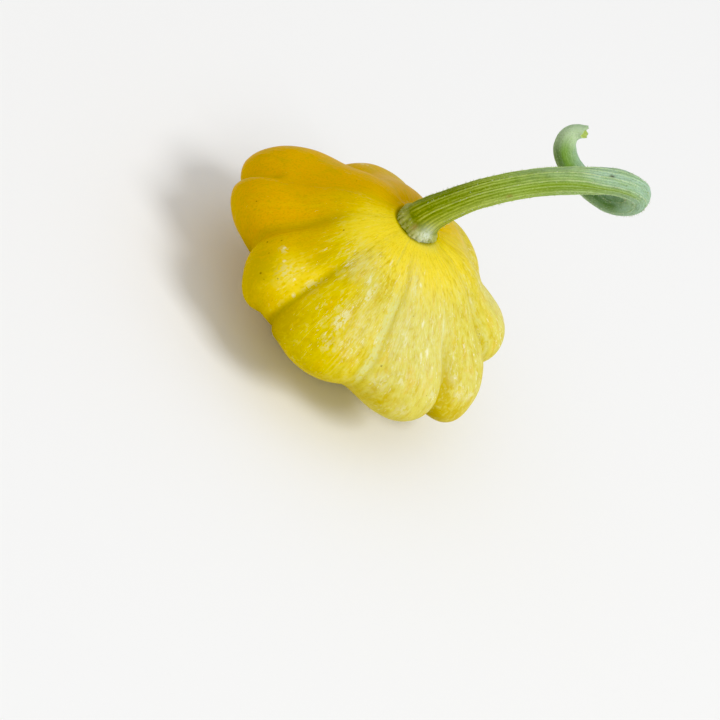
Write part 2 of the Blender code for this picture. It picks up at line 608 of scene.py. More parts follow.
@dataclass
class PlantSurface:
    """The effects that the plant's finishes share, each built once as a node group."""

    cluster_fineness: float = 0.17  # the streaks' clusters beside the streaks themselves
    cluster_weight: float = 0.7
    bare_level: float = 1.22  # the level of noise that a streak needs where the cover is 0
    cover_gain: float = 0.6  # how far the cover lowers that level
    speck_core: float = 0.35  # the share of a speck that is full
    mark_edge: float = 1.15  # where a mark ends, in reaches from its centre
    mark_core: float = 0.1
    pit_width: float = 0.5
    pit_share: float = 0.45
    unevenness: float = 0.35  # how fine the soft unevenness is beside the pores
    streaks: bpy.types.NodeTree = field(init=False)
    specks: bpy.types.NodeTree = field(init=False)
    pores: bpy.types.NodeTree = field(init=False)
    mark: bpy.types.NodeTree = field(init=False)

    def __post_init__(self) -> None:
        """Builds the groups."""
        self.mark = self.build_mark()
        self.streaks = self.build_streaks()
        self.specks = self.build_specks()
        self.pores = self.build_pores()

    def build_streaks(self) -> bpy.types.NodeTree:
        """Broken streaks that run with the growth, denser in some places than in others.

        Returns:
            The group. Flow is a vector in mm whose Z runs along the growth.
        """
        sizes = {"Width": 0.8, "Length": 4.0, "Cover": 0.4, "Edge": 0.08, "Seed": 0.0}
        wiring, given = new_group("growth_streaks", {"Flow": (0.0, 0.0, 0.0), **sizes})
        across = given["Width"].inverse()
        scale = wiring.place("ShaderNodeCombineXYZ", X=across, Y=across, Z=given["Length"].inverse())
        shift = wiring.place("ShaderNodeCombineXYZ", X=given["Seed"], Y=0.0, Z=given["Seed"])
        where = wiring.place("ShaderNodeMapping", Vector=given["Flow"], Location=shift, Scale=scale)
        clusters = wiring.noise(where, self.cluster_fineness, 2.0, 0.3)
        level = wiring.noise(where, 1.0, 3.0, 0.6) + clusters * self.cluster_weight
        bar = self.bare_level - given["Cover"] * self.cover_gain
        return wiring.give("Mask", level.window(bar, bar + given["Edge"]))

    def build_mark(self) -> bpy.types.NodeTree:
        """One oval mark at a given place.

        Returns:
            The group. Fineness holds one over the mark's reach along each axis of Flow.
        """
        inputs = {"Flow": (0.0, 0.0, 0.0), "Centre": (0.0, 0.0, 0.0), "Fineness": (1.0, 1.0, 1.0)}
        wiring, given = new_group("local_mark", inputs)
        away = wiring.vector_math(Sum.SUBTRACT, given["Flow"], given["Centre"])
        reaches = wiring.vector_math(Sum.LENGTH, wiring.vector_math(Sum.MULTIPLY, away, given["Fineness"]))
        return wiring.give("Mask", reaches.window(self.mark_edge, self.mark_core))

    def build_specks(self) -> bpy.types.NodeTree:
        """A few small round specks.

        Returns:
            The group. Share says how many of the cells hold a speck.
        """
        inputs = {"Flow": (0.0, 0.0, 0.0), "Spacing": 6.0, "Size": 0.4, "Share": 0.2}
        wiring, given = new_group("round_specks", inputs)
        scale = given["Spacing"].inverse()
        cells = wiring.node("ShaderNodeTexVoronoi", Vector=given["Flow"], Scale=scale)
        away = Signal(wiring, cells.outputs["Distance"]) * given["Spacing"]
        spot = away.window(given["Size"], given["Size"] * self.speck_core)
        lot = wiring.place("ShaderNodeSeparateColor", Color=Signal(wiring, cells.outputs["Color"]))
        return wiring.give("Mask", spot * wiring.math(Sum.OVER, given["Share"], lot))

    def build_pores(self) -> bpy.types.NodeTree:
        """The close grain of a rind: shallow pores over soft unevenness.

        Returns:
            The group. Its Height is for a Bump node.
        """
        wiring, given = new_group("rind_pores", {"Flow": (0.0, 0.0, 0.0), "Size": 0.8})
        scale = given["Size"].inverse()
        cells = wiring.place("ShaderNodeTexVoronoi", Vector=given["Flow"], Scale=scale)
        rise = wiring.noise(given["Flow"], scale * self.unevenness, 3.0)
        return wiring.give("Height", cells.window(0.0, self.pit_width) * self.pit_share + rise)


# ---- Finishes ------------------------------------------------------------------------------------


@dataclass(frozen=True)
class Depth:
    """How light glances off a plant's skin and how it sinks in."""

    specular: float
    specular_tint: tuple
    share: float  # of the light that sinks in
    reach: float  # how far it goes, in mm
    colours: tuple  # how far each of red, green and blue goes, as a share of the reach

    def apply(self, shader: bpy.types.Node) -> None:
        """Sets a shader's sockets.

        Args:
            shader: The material's Principled shader.
        """
        shader.inputs["Specular IOR Level"].default_value = self.specular
        shader.inputs["Specular Tint"].default_value = self.specular_tint
        shader.inputs["Subsurface Weight"].default_value = self.share
        shader.inputs["Subsurface Radius"].default_value = self.colours
        shader.inputs["Subsurface Scale"].default_value = self.reach * MM


@dataclass(frozen=True)
class WaxySkin:
    """The fruit's finish: gold on its shaded side, lemon with cream marks on its sunny side.
    The gold is partly the skin's own colour, partly painted shade; a few white marks are painted glints.

    The layers' masks and shares are tuned, from the ground up.
    """

    surface: PlantSurface
    flecks_and_glints: tuple = ()  # cream marks, a few of them painted glints, each its centre and fineness in the growth's flow, and its strength
    freckles: tuple = ()  # brown marks, likewise
    deep_gold: tuple = shade(224, 172, 2)
    gold: tuple = shade(222, 184, 4)
    warm_lemon: tuple = shade(222, 200, 20)
    lemon: tuple = shade(218, 207, 88)
    bright_lemon: tuple = shade(244, 221, 60)
    pale_lemon: tuple = shade(228, 221, 130)
    cream: tuple = shade(232, 230, 178)
    white: tuple = shade(244, 244, 214)
    amber: tuple = shade(203, 176, 14)
    olive: tuple = shade(184, 164, 6)
    seam: tuple = shade(218, 218, 148)
    shadow_olive: tuple = shade(140, 118, 4)
    # the painted shadow round the stalk's foot
    foot_shadow_green: tuple = shade(130, 124, 12)
    cork: tuple = shade(150, 116, 70)
    freckle: tuple = shade(98, 70, 18)
    roughness: float = 0.42
    depth: Depth = Depth(
        specular=0.04, specular_tint=(1.0, 0.86, 0.4, 1.0), share=0.12, reach=2.5, colours=(1.0, 0.65, 0.12)
    )

    def ground(self, wiring: Wiring, flow: Signal, mottle: Signal) -> Signal:
        """The broad tones: gold to lemon, the gold partly ripeness and partly painted shade, with clouds in
        it and a bright shoulder round the seat, which is painted light.

        Args:
            wiring: The material's wiring.
            flow: The growth's flow.
            mottle: Broad soft noise.

        Returns:
            The colour.
        """
        # the gold-to-lemon ramp: partly the skin's own colour, partly painted shade on the gold side
        ripeness_and_light = wiring.value("sunny") + (mottle - 0.5) * 0.35
        stops = ((0.04, self.deep_gold), (0.28, self.gold), (0.62, self.warm_lemon), (0.9, self.lemon))
        clouds = wiring.grain(flow, (0.14, 0.14, 0.09), 4.0, 0.6, (4.0, 1.0, 2.0))
        uneven = (mottle.window(0.3, 0.55) + 0.45).clamped()
        layers = (
            (self.olive, clouds.window(0.48, 0.72), 0.28),
            (self.deep_gold, clouds.window(0.48, 0.3), 0.35),
            # painted light: a brighter lemon shoulder round the seat on the lit side
            (self.bright_lemon, wiring.value("shoulder") * uneven, 0.95),
        )
        return wiring.layers(wiring.ramp(ripeness_and_light, stops), layers)

    def grained(self, wiring: Wiring, flow: Signal, body: Signal) -> Signal:
        """The fine uneven tones, from blotches of some mm down to grit, and the milky veils.

        Args:
            wiring: The material's wiring.
            flow: The growth's flow.
            body: The colour below.

        Returns:
            The colour.
        """
        lively = wiring.value("streaked")
        still = 1.25 - lively
        blotch = wiring.grain(flow, (0.4, 0.4, 0.26), 5.0, 0.3)
        threads = wiring.grain(flow, (1.1, 1.1, 0.05), 2.0, 0.0, (7.0, 3.0, 0.0))
        grit = wiring.grain(flow, (1.5, 1.5, 1.0), 3.0)
        lace = wiring.grain(flow, (1.3, 1.3, 0.42), 2.0, 0.3, (2.0, 8.0, 5.0))
        layers = (
            (self.amber, blotch.window(0.5, 0.7) * (lively + 0.25).clamped(), 0.68),
            (self.pale_lemon, blotch.window(0.5, 0.3) * lively, 0.5),
            (self.pale_lemon, threads.window(0.5, 0.75) * lively, 0.3),
            (self.olive, threads.window(0.5, 0.3), 0.14),
            (self.olive, grit.window(0.5, 0.68) * still, 0.4),
            (self.warm_lemon, grit.window(0.47, 0.3) * still, 0.2),
            (self.cream, wiring.value("milky") * (lace.window(0.42, 0.66) * 0.7 + 0.3), 0.85),
        )
        return wiring.layers(body, layers)

    def streaked(self, wiring: Wiring, flow: Signal, body: Signal) -> Signal:
        """Cream and white streaks, close and fine ones under a few larger ones.

        Args:
            wiring: The material's wiring.
            flow: The growth's flow.
            body: The colour below.

        Returns:
            The colour.
        """
        lively = wiring.value("streaked")
        streaks = self.surface.streaks
        cover = lively * 0.36 + 0.12
        fine = wiring.group(streaks, Flow=flow, Width=0.6, Length=1.9, Cover=cover, Edge=0.2, Seed=3.0)
        large = wiring.group(streaks, Flow=flow, Width=1.05, Length=2.3, Cover=0.32, Edge=0.14, Seed=29.0)
        return wiring.layers(body, ((self.cream, fine * lively, 0.75), (self.white, large * lively, 0.7)))

    def patched(self, wiring: Wiring, flow: Signal, body: Signal) -> Signal:
        """The patches of painted light, the pale patches, the gold patches with some painted shade, and the
        pale bands in the valleys, all with ragged edges.

        Args:
            wiring: The material's wiring.
            flow: The growth's flow.
            body: The colour below.

        Returns:
            The colour.
        """
        ragged = wiring.grain(flow, (0.75, 0.75, 0.5), 2.0, 0.5)
        soft = (ragged.window(0.3, 0.7) + 0.25).clamped()
        # painted light: brighter lemon where the light falls full on the lobes' crowns
        glow = wiring.value("painted_light_patch") * (soft + 0.3).clamped()
        pale = wiring.value("pale_patch") * ragged.window(0.34, 0.6)
        # amber patches: partly the skin's own amber, partly painted shade on the lobes' lower flanks
        gold = wiring.value("gold_and_shade_patch") * soft
        band = wiring.value("pale_band") * (ragged.window(0.34, 0.62) + 0.3).clamped()
        layers = (
            (self.bright_lemon, glow.window(0.0, 0.9), 0.75),
            (self.cream, pale.window(0.1, 0.6), 0.68),
            (self.amber, gold.window(0.05, 0.6), 0.75),
            (self.seam, band.window(0.1, 0.8), 0.7),
        )
        return wiring.layers(body, layers)

    def marks(self, wiring: Wiring, flow: Signal, places: tuple) -> Signal:
        """All marks of one kind as one mask.

        Args:
            wiring: The material's wiring.
            flow: The growth's flow.
            places: Each mark's centre, fineness and strength.

        Returns:
            The mask.
        """
        total: Feed = 0.0
        for centre, fineness, strength in places:
            spot = wiring.group(self.surface.mark, Flow=flow, Centre=centre, Fineness=fineness)
            total = wiring.math(Sum.LARGER, total, spot * strength)
        return total

    def colour(self, wiring: Wiring, flow: Signal, place: Signal, mottle: Signal) -> Signal:
        """The skin's whole colour.

        Args:
            wiring: The material's wiring.
            flow: The growth's flow.
            place: Where on the fruit, in mm.
            mottle: Broad soft noise.

        Returns:
            The colour.
        """
        body = self.ground(wiring, flow, mottle)
        body = self.grained(wiring, flow, body)
        body = self.streaked(wiring, flow, body)
        body = self.patched(wiring, flow, body)
        bent = (wiring.grain(flow, (0.9, 0.9, 0.9), 2.0) - 0.5) * 1.6
        ragged_flow = wiring.vector_math(Sum.ADD, flow, bent)
        dots = wiring.group(self.surface.specks, Flow=place, Spacing=8.0, Size=0.4, Share=0.14)
        layers = (
            # white flecks, a few of them painted glints
            (self.white, self.marks(wiring, ragged_flow, self.flecks_and_glints), 0.68),
            # painted shade: olive along the valleys' creases
            (self.olive, "crease", 0.5),
            # painted shade in the valleys
            (self.olive, "painted_valley_shade", 0.42),
            # painted shade: darker amber on the underside below the rim
            (self.amber, "painted_underside_shade", 0.5),
            # painted shadow: dark olive patches where the underside and the valleys' ends lie in shade
            (self.shadow_olive, "painted_shadow_patch", 0.75),
            # painted shadow round the stalk's foot
            (self.foot_shadow_green, "foot_shade", 1.0),
            (self.freckle, dots, 0.6),
            (self.freckle, self.marks(wiring, ragged_flow, self.freckles), 0.85),
            (self.cork, "scar", 1.0),
        )
        return wiring.layers(body, layers)

    def build(self) -> bpy.types.Material:
        """Wires the material.

        Returns:
            The material.
        """
        material, wiring, shader = new_material("waxy_yellow_skin")
        flow = wiring.vector("growth_flow")
        place = wiring.vector("place_mm")
        mottle = wiring.grain(flow, (0.11, 0.11, 0.035), 4.0, 0.4)
        rough = (mottle - 0.5) * 0.25 + self.roughness + wiring.value("scar") * 0.4
        pores = wiring.group(self.surface.pores, Flow=place, Size=0.9)
        threads = wiring.grain(flow, (0.9, 0.9, 0.10), 3.0)
        wiring.feed(shader.inputs["Base Color"], self.colour(wiring, flow, place, mottle))
        wiring.feed(shader.inputs["Roughness"], rough.clamped())
        wiring.feed(shader.inputs["Normal"], wiring.bumps(((threads, 0.18), (pores, 0.06))))
        self.depth.apply(shader)
        return material


@dataclass(frozen=True)
class RibbedRind:
    """The stalk's finish: grainy green with pale ridges, and a bluish bloom on the curl.
    The bloom is partly painted light on the lit side, and the curl's inside holds painted shade.

    The layers' masks and shares are tuned, from the ground up.
    """

    surface: PlantSurface
    green: tuple = (  # by the share of the way from foot to tip
        (0.0, shade(152, 152, 12)),
        (0.12, shade(144, 160, 24)),
        (0.3, shade(147, 176, 64)),
        (0.45, shade(156, 191, 110)),
        (0.65, shade(156, 194, 158)),
        (1.0, shade(150, 187, 124)),
    )
    pale: tuple = (
        (0.0, shade(182, 188, 78)),
        (0.3, shade(190, 208, 118)),
        (0.55, shade(208, 226, 176)),
        (1.0, shade(204, 226, 184)),
    )
    dark: tuple = shade(92, 112, 12)
    # a deeper green, also painted shade inside the curl
    deep_green_and_shade: tuple = shade(66, 106, 44)
    lime: tuple = shade(132, 164, 22)
    strip: tuple = shade(128, 168, 56)
    # the bloom's colour, partly painted light
    bloom_and_light: tuple = shade(178, 212, 202)
    # pale wax, partly a painted highlight
    wax_and_highlight: tuple = shade(214, 224, 202)
    collar: tuple = shade(168, 170, 78)
    rough_skin: tuple = shade(206, 204, 146)
    flesh: tuple = shade(186, 204, 112)
    hair: tuple = shade(236, 240, 222)
    scab: tuple = shade(134, 96, 44)
    wound: tuple = shade(66, 58, 36)
    roughness: float = 0.55
    depth: Depth = Depth(
        specular=0.28, specular_tint=(0.92, 1.0, 0.6, 1.0), share=0.08, reach=1.5, colours=(0.5, 0.8, 0.2)
    )

    def colour(self, wiring: Wiring, flow: Signal, grain: Signal, clouds: Signal) -> Signal:
        """The rind's whole colour.

        Args:
            wiring: The material's wiring.
            flow: The growth's flow.
            grain: Fine noise drawn out along the stalk.
            clouds: Broad soft noise.

        Returns:
            The colour.
        """
        specks = self.surface.specks
        pale = wiring.ramp(wiring.value("along"), self.pale)
        ridge = wiring.value("ridge")
        collar = wiring.value("collar")
        speck = wiring.grain(flow, (2.2, 2.2, 1.8), 2.0)
        hairs = wiring.group(specks, Flow=flow, Spacing=2.6, Size=0.3, Share=0.16)
        elsewhere = wiring.place("ShaderNodeMapping", Vector=flow, Location=(5, 3, 1), Scale=(1, 1, 0.6))
        scabs = wiring.group(specks, Flow=elsewhere, Spacing=9.0, Size=0.7, Share=0.1)
        layers = (
            (self.dark, grain.window(0.5, 0.72), 0.6),
            (pale, grain.window(0.5, 0.3), 0.35),
            # a deeper green and painted shade inside the curl and on the tail's shaded side
            (self.deep_green_and_shade, "deep_green_and_shade", 0.9),
            # bluish bloom: partly real bloom, partly painted light on the side that faces the light
            (self.bloom_and_light, wiring.value("bloom_and_light") * clouds.window(0.2, 0.7), 0.75),
            (self.lime, "lime", 0.8),
            # painted shade in the grooves between the ridges
            (self.dark, ridge.window(0.3, 0.0), wiring.value("groove_shade")),
            (pale, ridge, 0.66),
            (pale, wiring.value("main_ridge") * grain.window(0.65, 0.4), 0.72),
            (pale, "pale_side", 0.42),
            # painted shade on stretches of the stalk's upper and lower edges
            (self.dark, "painted_shade", 0.5),
            (self.dark, speck.window(0.53, 0.72), 0.4),
            (pale, speck.window(0.44, 0.27), 0.42),
            (self.collar, collar * clouds.window(0.1, 0.6), 0.9),
            (self.rough_skin, "knob_tops", 0.75),
            # painted shade in the gaps between the collar's knobs
            (self.dark, "painted_knob_gap_shade", 0.6),
            (self.rough_skin, collar * speck.window(0.54, 0.62), 0.4),
            # pale wax on the foot's lower side, partly a painted highlight
            (self.wax_and_highlight, wiring.value("wax_and_highlight") * speck.window(0.2, 0.5), 0.85),
            (self.flesh, "cut", 1.0),
            (self.hair, hairs, 0.7),
            (self.scab, scabs, 0.5),
            (self.strip, "tail_strip", 0.7),
            (self.scab, "scuff", 0.6),
            (self.wound, "wound", 0.9),
        )
        return wiring.layers(wiring.ramp(wiring.value("along"), self.green), layers)

    def build(self) -> bpy.types.Material:
        """Wires the material.

        Returns:
            The material.
        """
        material, wiring, shader = new_material("ribbed_green_stalk")
        flow = wiring.vector("growth_flow")
        grain = wiring.grain(flow, (1.3, 1.3, 0.3), 3.0)
        clouds = wiring.grain(flow, (0.3, 0.3, 0.12), 3.0, 0.5)
        rough = (clouds - 0.5) * 0.2 + self.roughness
        pores = wiring.group(self.surface.pores, Flow=flow, Size=0.7)
        wiring.feed(shader.inputs["Base Color"], self.colour(wiring, flow, grain, clouds))
        wiring.feed(shader.inputs["Roughness"], rough.clamped())
        wiring.feed(shader.inputs["Normal"], wiring.bumps(((grain, 0.25), (pores, 0.14))))
        self.depth.apply(shader)
        return material


@dataclass(frozen=True)
class PaleHair:
    """The finish of the stalk's short bristles."""

    root: tuple = shade(170, 190, 110)
    tip: tuple = shade(240, 242, 226)
    roughness: float = 0.4

    def build(self) -> bpy.types.Material:
        """Wires the material.

        Returns:
            The material.
        """
        material, wiring, shader = new_material("pale_bristle")
        grain = wiring.noise(wiring.vector("growth_flow"), 0.8, 2.0)
        share = (wiring.value("along") + (grain - 0.5)).clamped()
        wiring.feed(shader.inputs["Base Color"], wiring.mix(share, self.root, self.tip))
        wiring.feed(shader.inputs["Roughness"], grain * 0.2 + self.roughness)
        return material


@dataclass(frozen=True)
class MattPaper:
    """The finish of the floor."""

    tone: tuple = (0.9, 0.9, 0.9, 1.0)
    fibre: tuple = (0.8, 0.8, 0.8, 1.0)
    roughness: float = 0.9
    specular: float = 0.1

    def build(self) -> bpy.types.Material:
        """Wires the material.

        Returns:
            The material.
        """
        material, wiring, shader = new_material("matt_paper")
        where = Signal(wiring, wiring.node("ShaderNodeTexCoord").outputs["Object"])
        fibres = wiring.noise(where, 40.0, 3.0)
        wiring.feed(shader.inputs["Base Color"], wiring.mix(fibres * 0.02, self.tone, self.fibre))
        shader.inputs["Roughness"].default_value = self.roughness
        shader.inputs["Specular IOR Level"].default_value = self.specular
        return material


# ---- The fruit -----------------------------------------------------------------------------------


@dataclass(frozen=True)
class Lobe:
    """One lobe of the fruit and the valley that ends it, counter-clockwise."""

    end: float  # azimuth of the valley
    swell: float  # how far the lobe swells, in mm
    lift: float  # how far it lifts
    valley_out: float  # how far outside the profile the valley is
    valley_rise: float  # how far above
    drift: float  # how far the valley bows round the fruit on its way in from the rim, in degrees
    softness: float  # how wide the valley's bottom is rounded, in degrees
    groove: float  # depth of the groove along the valley's bottom, in mm
    groove_width: float  # its half width, in mm
    crease: float  # depth of the fine crease in the groove, in mm
    reach: float  # the share of the way from seat to rim at which the groove sets in


@dataclass(frozen=True)
class Spot:
    """A soft place on the skin: a swelling, a patch of a tone or a fleck."""

    azimuth: float
    station: float  # in mm
    across: float  # reach around the fruit, in mm
    down: float  # reach down the skin, in mm
    amount: float  # a swelling's height in mm, or a tone's strength from 0 to 1


@dataclass(frozen=True)
class ValleyShade:
    """Painted shade in a valley: a duller olive tone where the valley lies in shadow."""

    azimuth: float
    width: float  # in mm
    reach: float  # the share of the way from seat to rim at which it sets in
    strength: float


@dataclass(frozen=True)
class PaleBand:
    """The pale band along a valley."""

    azimuth: float
    lean: float  # how far its middle lies clockwise of the valley, in mm
    width: float  # in mm
    strength: float


@dataclass
class Fruit:
    """The fruit: one skin with nine lobes, a dished seat under the stalk and a flat blossom end."""

    surface: PlantSurface
    profile: tuple = (  # radius and height, from the seat's edge down to the rest face's edge
        (9.4, SEAT_HEIGHT), (22.5, 70.3), (33.7, 62.5), (45.4, 52.0), (54.7, 44.5), (58.2, 36.0),
        (52.3, 27.0), (41.5, 18.0), (31.6, 10.0), (25.0, 3.5), (15.0, 0.0),
    )
    rim_index: int = 5
    lobes: tuple[Lobe, ...] = each(
        Lobe,
        (180.5, 11.8, -2.0, 4.0, -4.5, 3.0, 5.5, 1.5, 2.6, 0.4, 0.72),
        (213.5, 7.5, 1.5, -7.5, -1.0, 1.0, 3.8, 1.7, 3.6, 0.2, 0.3),
        (253, 7.0, -0.5, -0.5, -2.0, -1.0, 2.2, 1.5, 2.1, 0.5, 0.4),
        (297, 8.0, 0.5, -2.2, -1.0, 2.0, 6.0, 0.3, 5.0, 0.35, 0.02),
        (339, 7.5, -1.0, 0.5, -5.0, 1.0, 2.5, 1.3, 2.0, 0.4, 0.5),
        (375, 10.5, -6.5, -2.5, 0.0, -1.0, 3.0, 0.9, 2.4, 0.5, 0.3),
        (412, 10.5, -1.0, -0.3, -1.2, 0.0, 9.0, 0.3, 3.0, 0.2, 0.4),
        (457, 9.0, -0.5, -0.5, -0.5, 3.0, 4.0, 0.9, 3.0, 0.3, 0.4),
        (502, 7.5, 0.0, -3.0, -1.5, -2.0, 3.5, 0.8, 3.0, 0.4, 0.4),
    )
    lobe_roundness: float = 0.9  # below 1, the lobes are fuller near their valleys
    least_softness: float = 0.8  # how wide the middles of the lobes are rounded, in degrees
    softness_spread: float = 4.0  # how gently the rounding's width changes, in degrees
    lobe_onset: float = 2.4  # the power by which the lobes grow from seat to rim
    shoulder_swell: float = 0.12  # the share of their swell that the lobes have half way besides
    lobe_fade: float = 0.6  # the share of the way from rim to rest face at which the lobes are gone
    swell_fade: float = 1.3  # the power by which they go
    valley_fade: float = 1.5
    lean: tuple[float, float] = (-0.5, 1.0)  # how the rim rises toward +X and +Y, in mm
    shift: tuple[float, float] = (-1.5, 1.5)  # how it moves outward there
    valley_twist: float = math.radians(2.5)

    # the relief of its skin
    swellings: tuple[Spot, ...] = each(
        Spot,
        (236, 66, 10, 8, 0.2), (234, 47, 8, 6, -0.7), (239, 77, 6, 5, 1.5), (253.5, 77, 4.2, 6, 2.5),
        (247, 79, 2.6, 6, -1.8), (199, 64, 14, 10, 0.7), (275, 68, 12, 9, 0.7), (316, 72, 12, 9, 1.2),
        (362, 72, 9, 10, 1.0), (30, 68, 10, 8, 1.6), (38, 47, 8, 7, -0.3), (170, 76, 10, 9, 0.5),
        (75, 68, 12, 9, 1.0), (119, 68, 12, 9, 0.9),
    )
    dish_depth: float = 0.9
    dish_slope: int = 3  # how many of the dish's rings are on its slope
    lip_height: float = 0.5
    lip_station: float = 1.6
    lip_width: float = 1.1
    seat_shift: tuple[float, float] = (-1.3, -2.6)
    seat_spread: float = 32.0  # how far down the skin the seat's shift is felt, in mm
    fold_count: int = 46
    fold_depth: float = 0.16
    fold_reach: float = 26.0
    lump_sizes: tuple = ((0.35, 17.0, 3.1), (0.14, 7.0, 9.7))  # height and spacing in mm, seed
    lump_start: tuple[float, float] = (0.0, 12.0)  # the stations between which the lumps set in
    lump_floor: tuple[float, float] = (0.5, 9.0)  # and the heights
    crease_width: float = 0.75
    crease_wander: tuple[float, float] = (0.8, 18.333)  # how far they stray and over what length, in mm
    crease_onset: float = 0.25  # the share of the way to the rim over which they deepen
    crease_end: tuple[float, float] = (1.35, 1.0)  # the shares past the rim where they are gone, and full
    groove_end: tuple[float, float] = (1.5, 1.1)
    groove_onset: float = 0.4
    scar_radius: float = 7.5
    scar_depth: float = 0.5

    # where its tones lie
    pale_patches: tuple[Spot, ...] = each(
        Spot,
        (274, 49.5, 2, 3.8, 0.85), (277, 33.5, 1, 4.2, 1.0), (271, 29, 0.9, 1.1, 0.9),
        (276, 60, 4, 3.4, 0.36), (253, 47, 1, 4, 0.6), (231, 51, 2.2, 2.2, 0.4), (242, 54, 4.2, 5.2, 0.4),
        (343, 57, 1.6, 2.4, 0.8), (347, 64, 2.4, 4.2, 0.65), (353, 68, 3.5, 2, 0.6), (303, 62, 3, 4, 0.5),
        (316, 70, 3, 3, 0.5), (310, 57, 2.4, 3, 0.55), (328, 62, 2, 3.4, 0.5), (14, 52, 1.6, 4, 0.5),
        (90, 45, 3, 5, 0.6), (130, 55, 2.5, 5, 0.4), (60, 60, 2.5, 4, 0.6),
    )
    # painted shadow: dark olive patches on the underside and at the valleys' lower ends
    painted_shadow_patches: tuple[Spot, ...] = each(
        Spot,
        (251, 82, 6.5, 6, 1.0), (257, 78, 4, 5, 0.9), (254, 80, 4, 7, 0.9), (300, 86, 6, 5, 0.5),
        (340, 84, 5, 6, 0.7), (213, 82, 6, 6, 0.7),
    )
    milky_patches: tuple[Spot, ...] = each(
        Spot,
        (320, 44, 9, 15, 0.6), (336, 46, 3.5, 14, 0.8), (305, 40, 4, 14, 0.7), (304, 20, 3, 7, 0.6),
        (34, 50, 4, 10, 0.6), (352, 56, 4, 8, 0.3), (283, 46, 4, 8, 0.6), (262, 27, 3, 5, 0.5),
    )
    # painted light: brighter lemon where the light falls full on the lobes' crowns
    painted_light_patches: tuple[Spot, ...] = each(
        Spot,
        (260, 43, 2.6, 6, 0.4), (243, 53, 6.5, 8, 0.95), (251, 45, 2.6, 7, 0.8), (251.5, 54, 2.2, 5, 0.8),
        (269, 37.5, 2.4, 4, 0.4), (232, 18, 6, 7, 0.8), (8, 36, 4, 12, 0.3), (24, 40, 3, 14, 0.35),
        (256, 55, 3.5, 5, 0.5), (238, 52, 5, 6, 0.7),
    )
    # amber patches: partly the skin's own amber, partly painted shade on the lobes' lower flanks
    gold_and_shade_patches: tuple[Spot, ...] = each(
        Spot,
        (318, 60, 1.3, 3.6, 0.5), (339, 64, 4, 7, 1.0), (283, 27, 2.6, 8, 0.5), (246, 37, 3, 5, 0.5),
        (234, 75, 11, 7, 0.8), (234, 63, 6, 7, 0.9), (259, 66, 5, 8, 0.8), (276, 76, 16, 6, 0.5),
        (303, 64.5, 1.2, 1.2, 0.8), (289, 54.6, 1.6, 2, 0.6), (21, 54.6, 1.6, 2, 0.4),
        (345, 76, 9, 6, 0.8), (341, 62.5, 2.6, 4.6, 0.9), (75, 62, 4, 4, 0.7), (308, 69, 8, 5, 0.42),
        (347, 50, 4, 9, 0.3), (295, 40, 2.4, 6, 0.25),
    )
    # cream and white flecks, a few of them painted glints
    flecks_and_glints: tuple[Spot, ...] = each(
        Spot,
        (310, 18.6, 0.6, 1.2, 0.9), (316, 33.8, 0.8, 2.6, 0.9), (322, 45, 1.3, 2.8, 1.0),
        (318, 46.5, 0.8, 1.9, 0.8), (336, 33.5, 0.5, 3, 0.8), (326, 51, 0.7, 1.4, 0.6),
        (358, 53.8, 0.6, 1, 0.8), (358, 59.5, 0.6, 1.4, 0.6), (277, 16.8, 0.5, 2.4, 0.7),
        (230, 50.4, 0.8, 0.8, 0.8), (237, 52.7, 0.8, 1, 0.8), (247, 52.3, 0.8, 0.9, 0.9),
        (252, 55.6, 0.9, 1, 0.9), (251, 47.5, 0.5, 2.2, 0.6), (244, 47, 0.6, 1.4, 0.5),
    )
    freckles: tuple[Spot, ...] = each(
        Spot,
        (223, 56.4, 0.7, 0.6, 0.9), (225, 50.6, 0.6, 0.5, 0.8), (230, 57, 0.5, 0.5, 0.7),
        (237, 63.3, 0.7, 0.7, 0.9), (240, 63, 0.6, 0.6, 0.7), (243, 58, 0.5, 0.6, 0.7),
        (231, 25.6, 0.6, 0.5, 0.8), (308, 31.5, 0.5, 0.5, 0.7), (300, 54.6, 0.7, 0.6, 0.8),
        (288, 52.5, 0.5, 0.5, 0.5), (44, 48, 0.5, 0.6, 0.7), (98, 60, 0.7, 0.6, 0.7),
        (152, 40, 0.5, 0.6, 0.6),
    )
    # the valleys' painted shade
    shaded_valleys: tuple[ValleyShade, ...] = each(
        ValleyShade,
        (253, 3.2, 0.45, 0.6), (213, 7.0, 0.2, 0.7), (249, 13.0, 0.98, 1.0), (181, 4.0, 0.6, 0.8),
        (339, 2.2, 0.7, 0.4),
    )
    bands: tuple[PaleBand, ...] = each(
        PaleBand, (297, 2.1, 1.9, 0.95), (337, 0, 0.9, 0.8), (378, 0, 1.0, 0.5)
    )
    band_start: tuple[float, float] = (14.0, 38.0)  # the stations between which the bands set in
    band_end: tuple[float, float] = (1.1, 0.9)  # the shares of the way to the rim where they end
    shade_lap: float = 0.4  # how far a valley's shade laps over its other side, as a share of its width
    shade_onset: float = 0.4
    least_streaks: float = 0.12
    streak_gain: float = 0.9
    streak_sun: tuple[float, float] = (0.1, 0.75)  # how sunny the skin is where the streaks set in
    streak_start: tuple[float, float] = (4.0, 24.0)  # and at which stations
    low_side_loss: float = 0.7  # the share of the streaks that is lost below the rim, at the sides
    rim_loss: float = 0.45  # and at the rim all round
    shoulder_end: tuple[float, float] = (34.0, 10.0)  # the stations where the shoulder is gone, and full
    shoulder_sun: tuple[float, float] = (0.15, 0.6)
    shoulder_onset: float = 6.0  # how far out from the seat's edge it reaches its full tone, in mm
    # where the painted shade on the underside sets in
    underside_start: tuple[float, float] = (0.9, 1.2)  # the shares of the way to the rim where it sets in
    # how strong the painted shadow round the stalk's foot is
    foot_shade_strength: float = 0.55
    sunny_azimuth: float = 350.0
    early_sun: float = 45.0  # how much farther round the sunny side reaches by the seat, in degrees

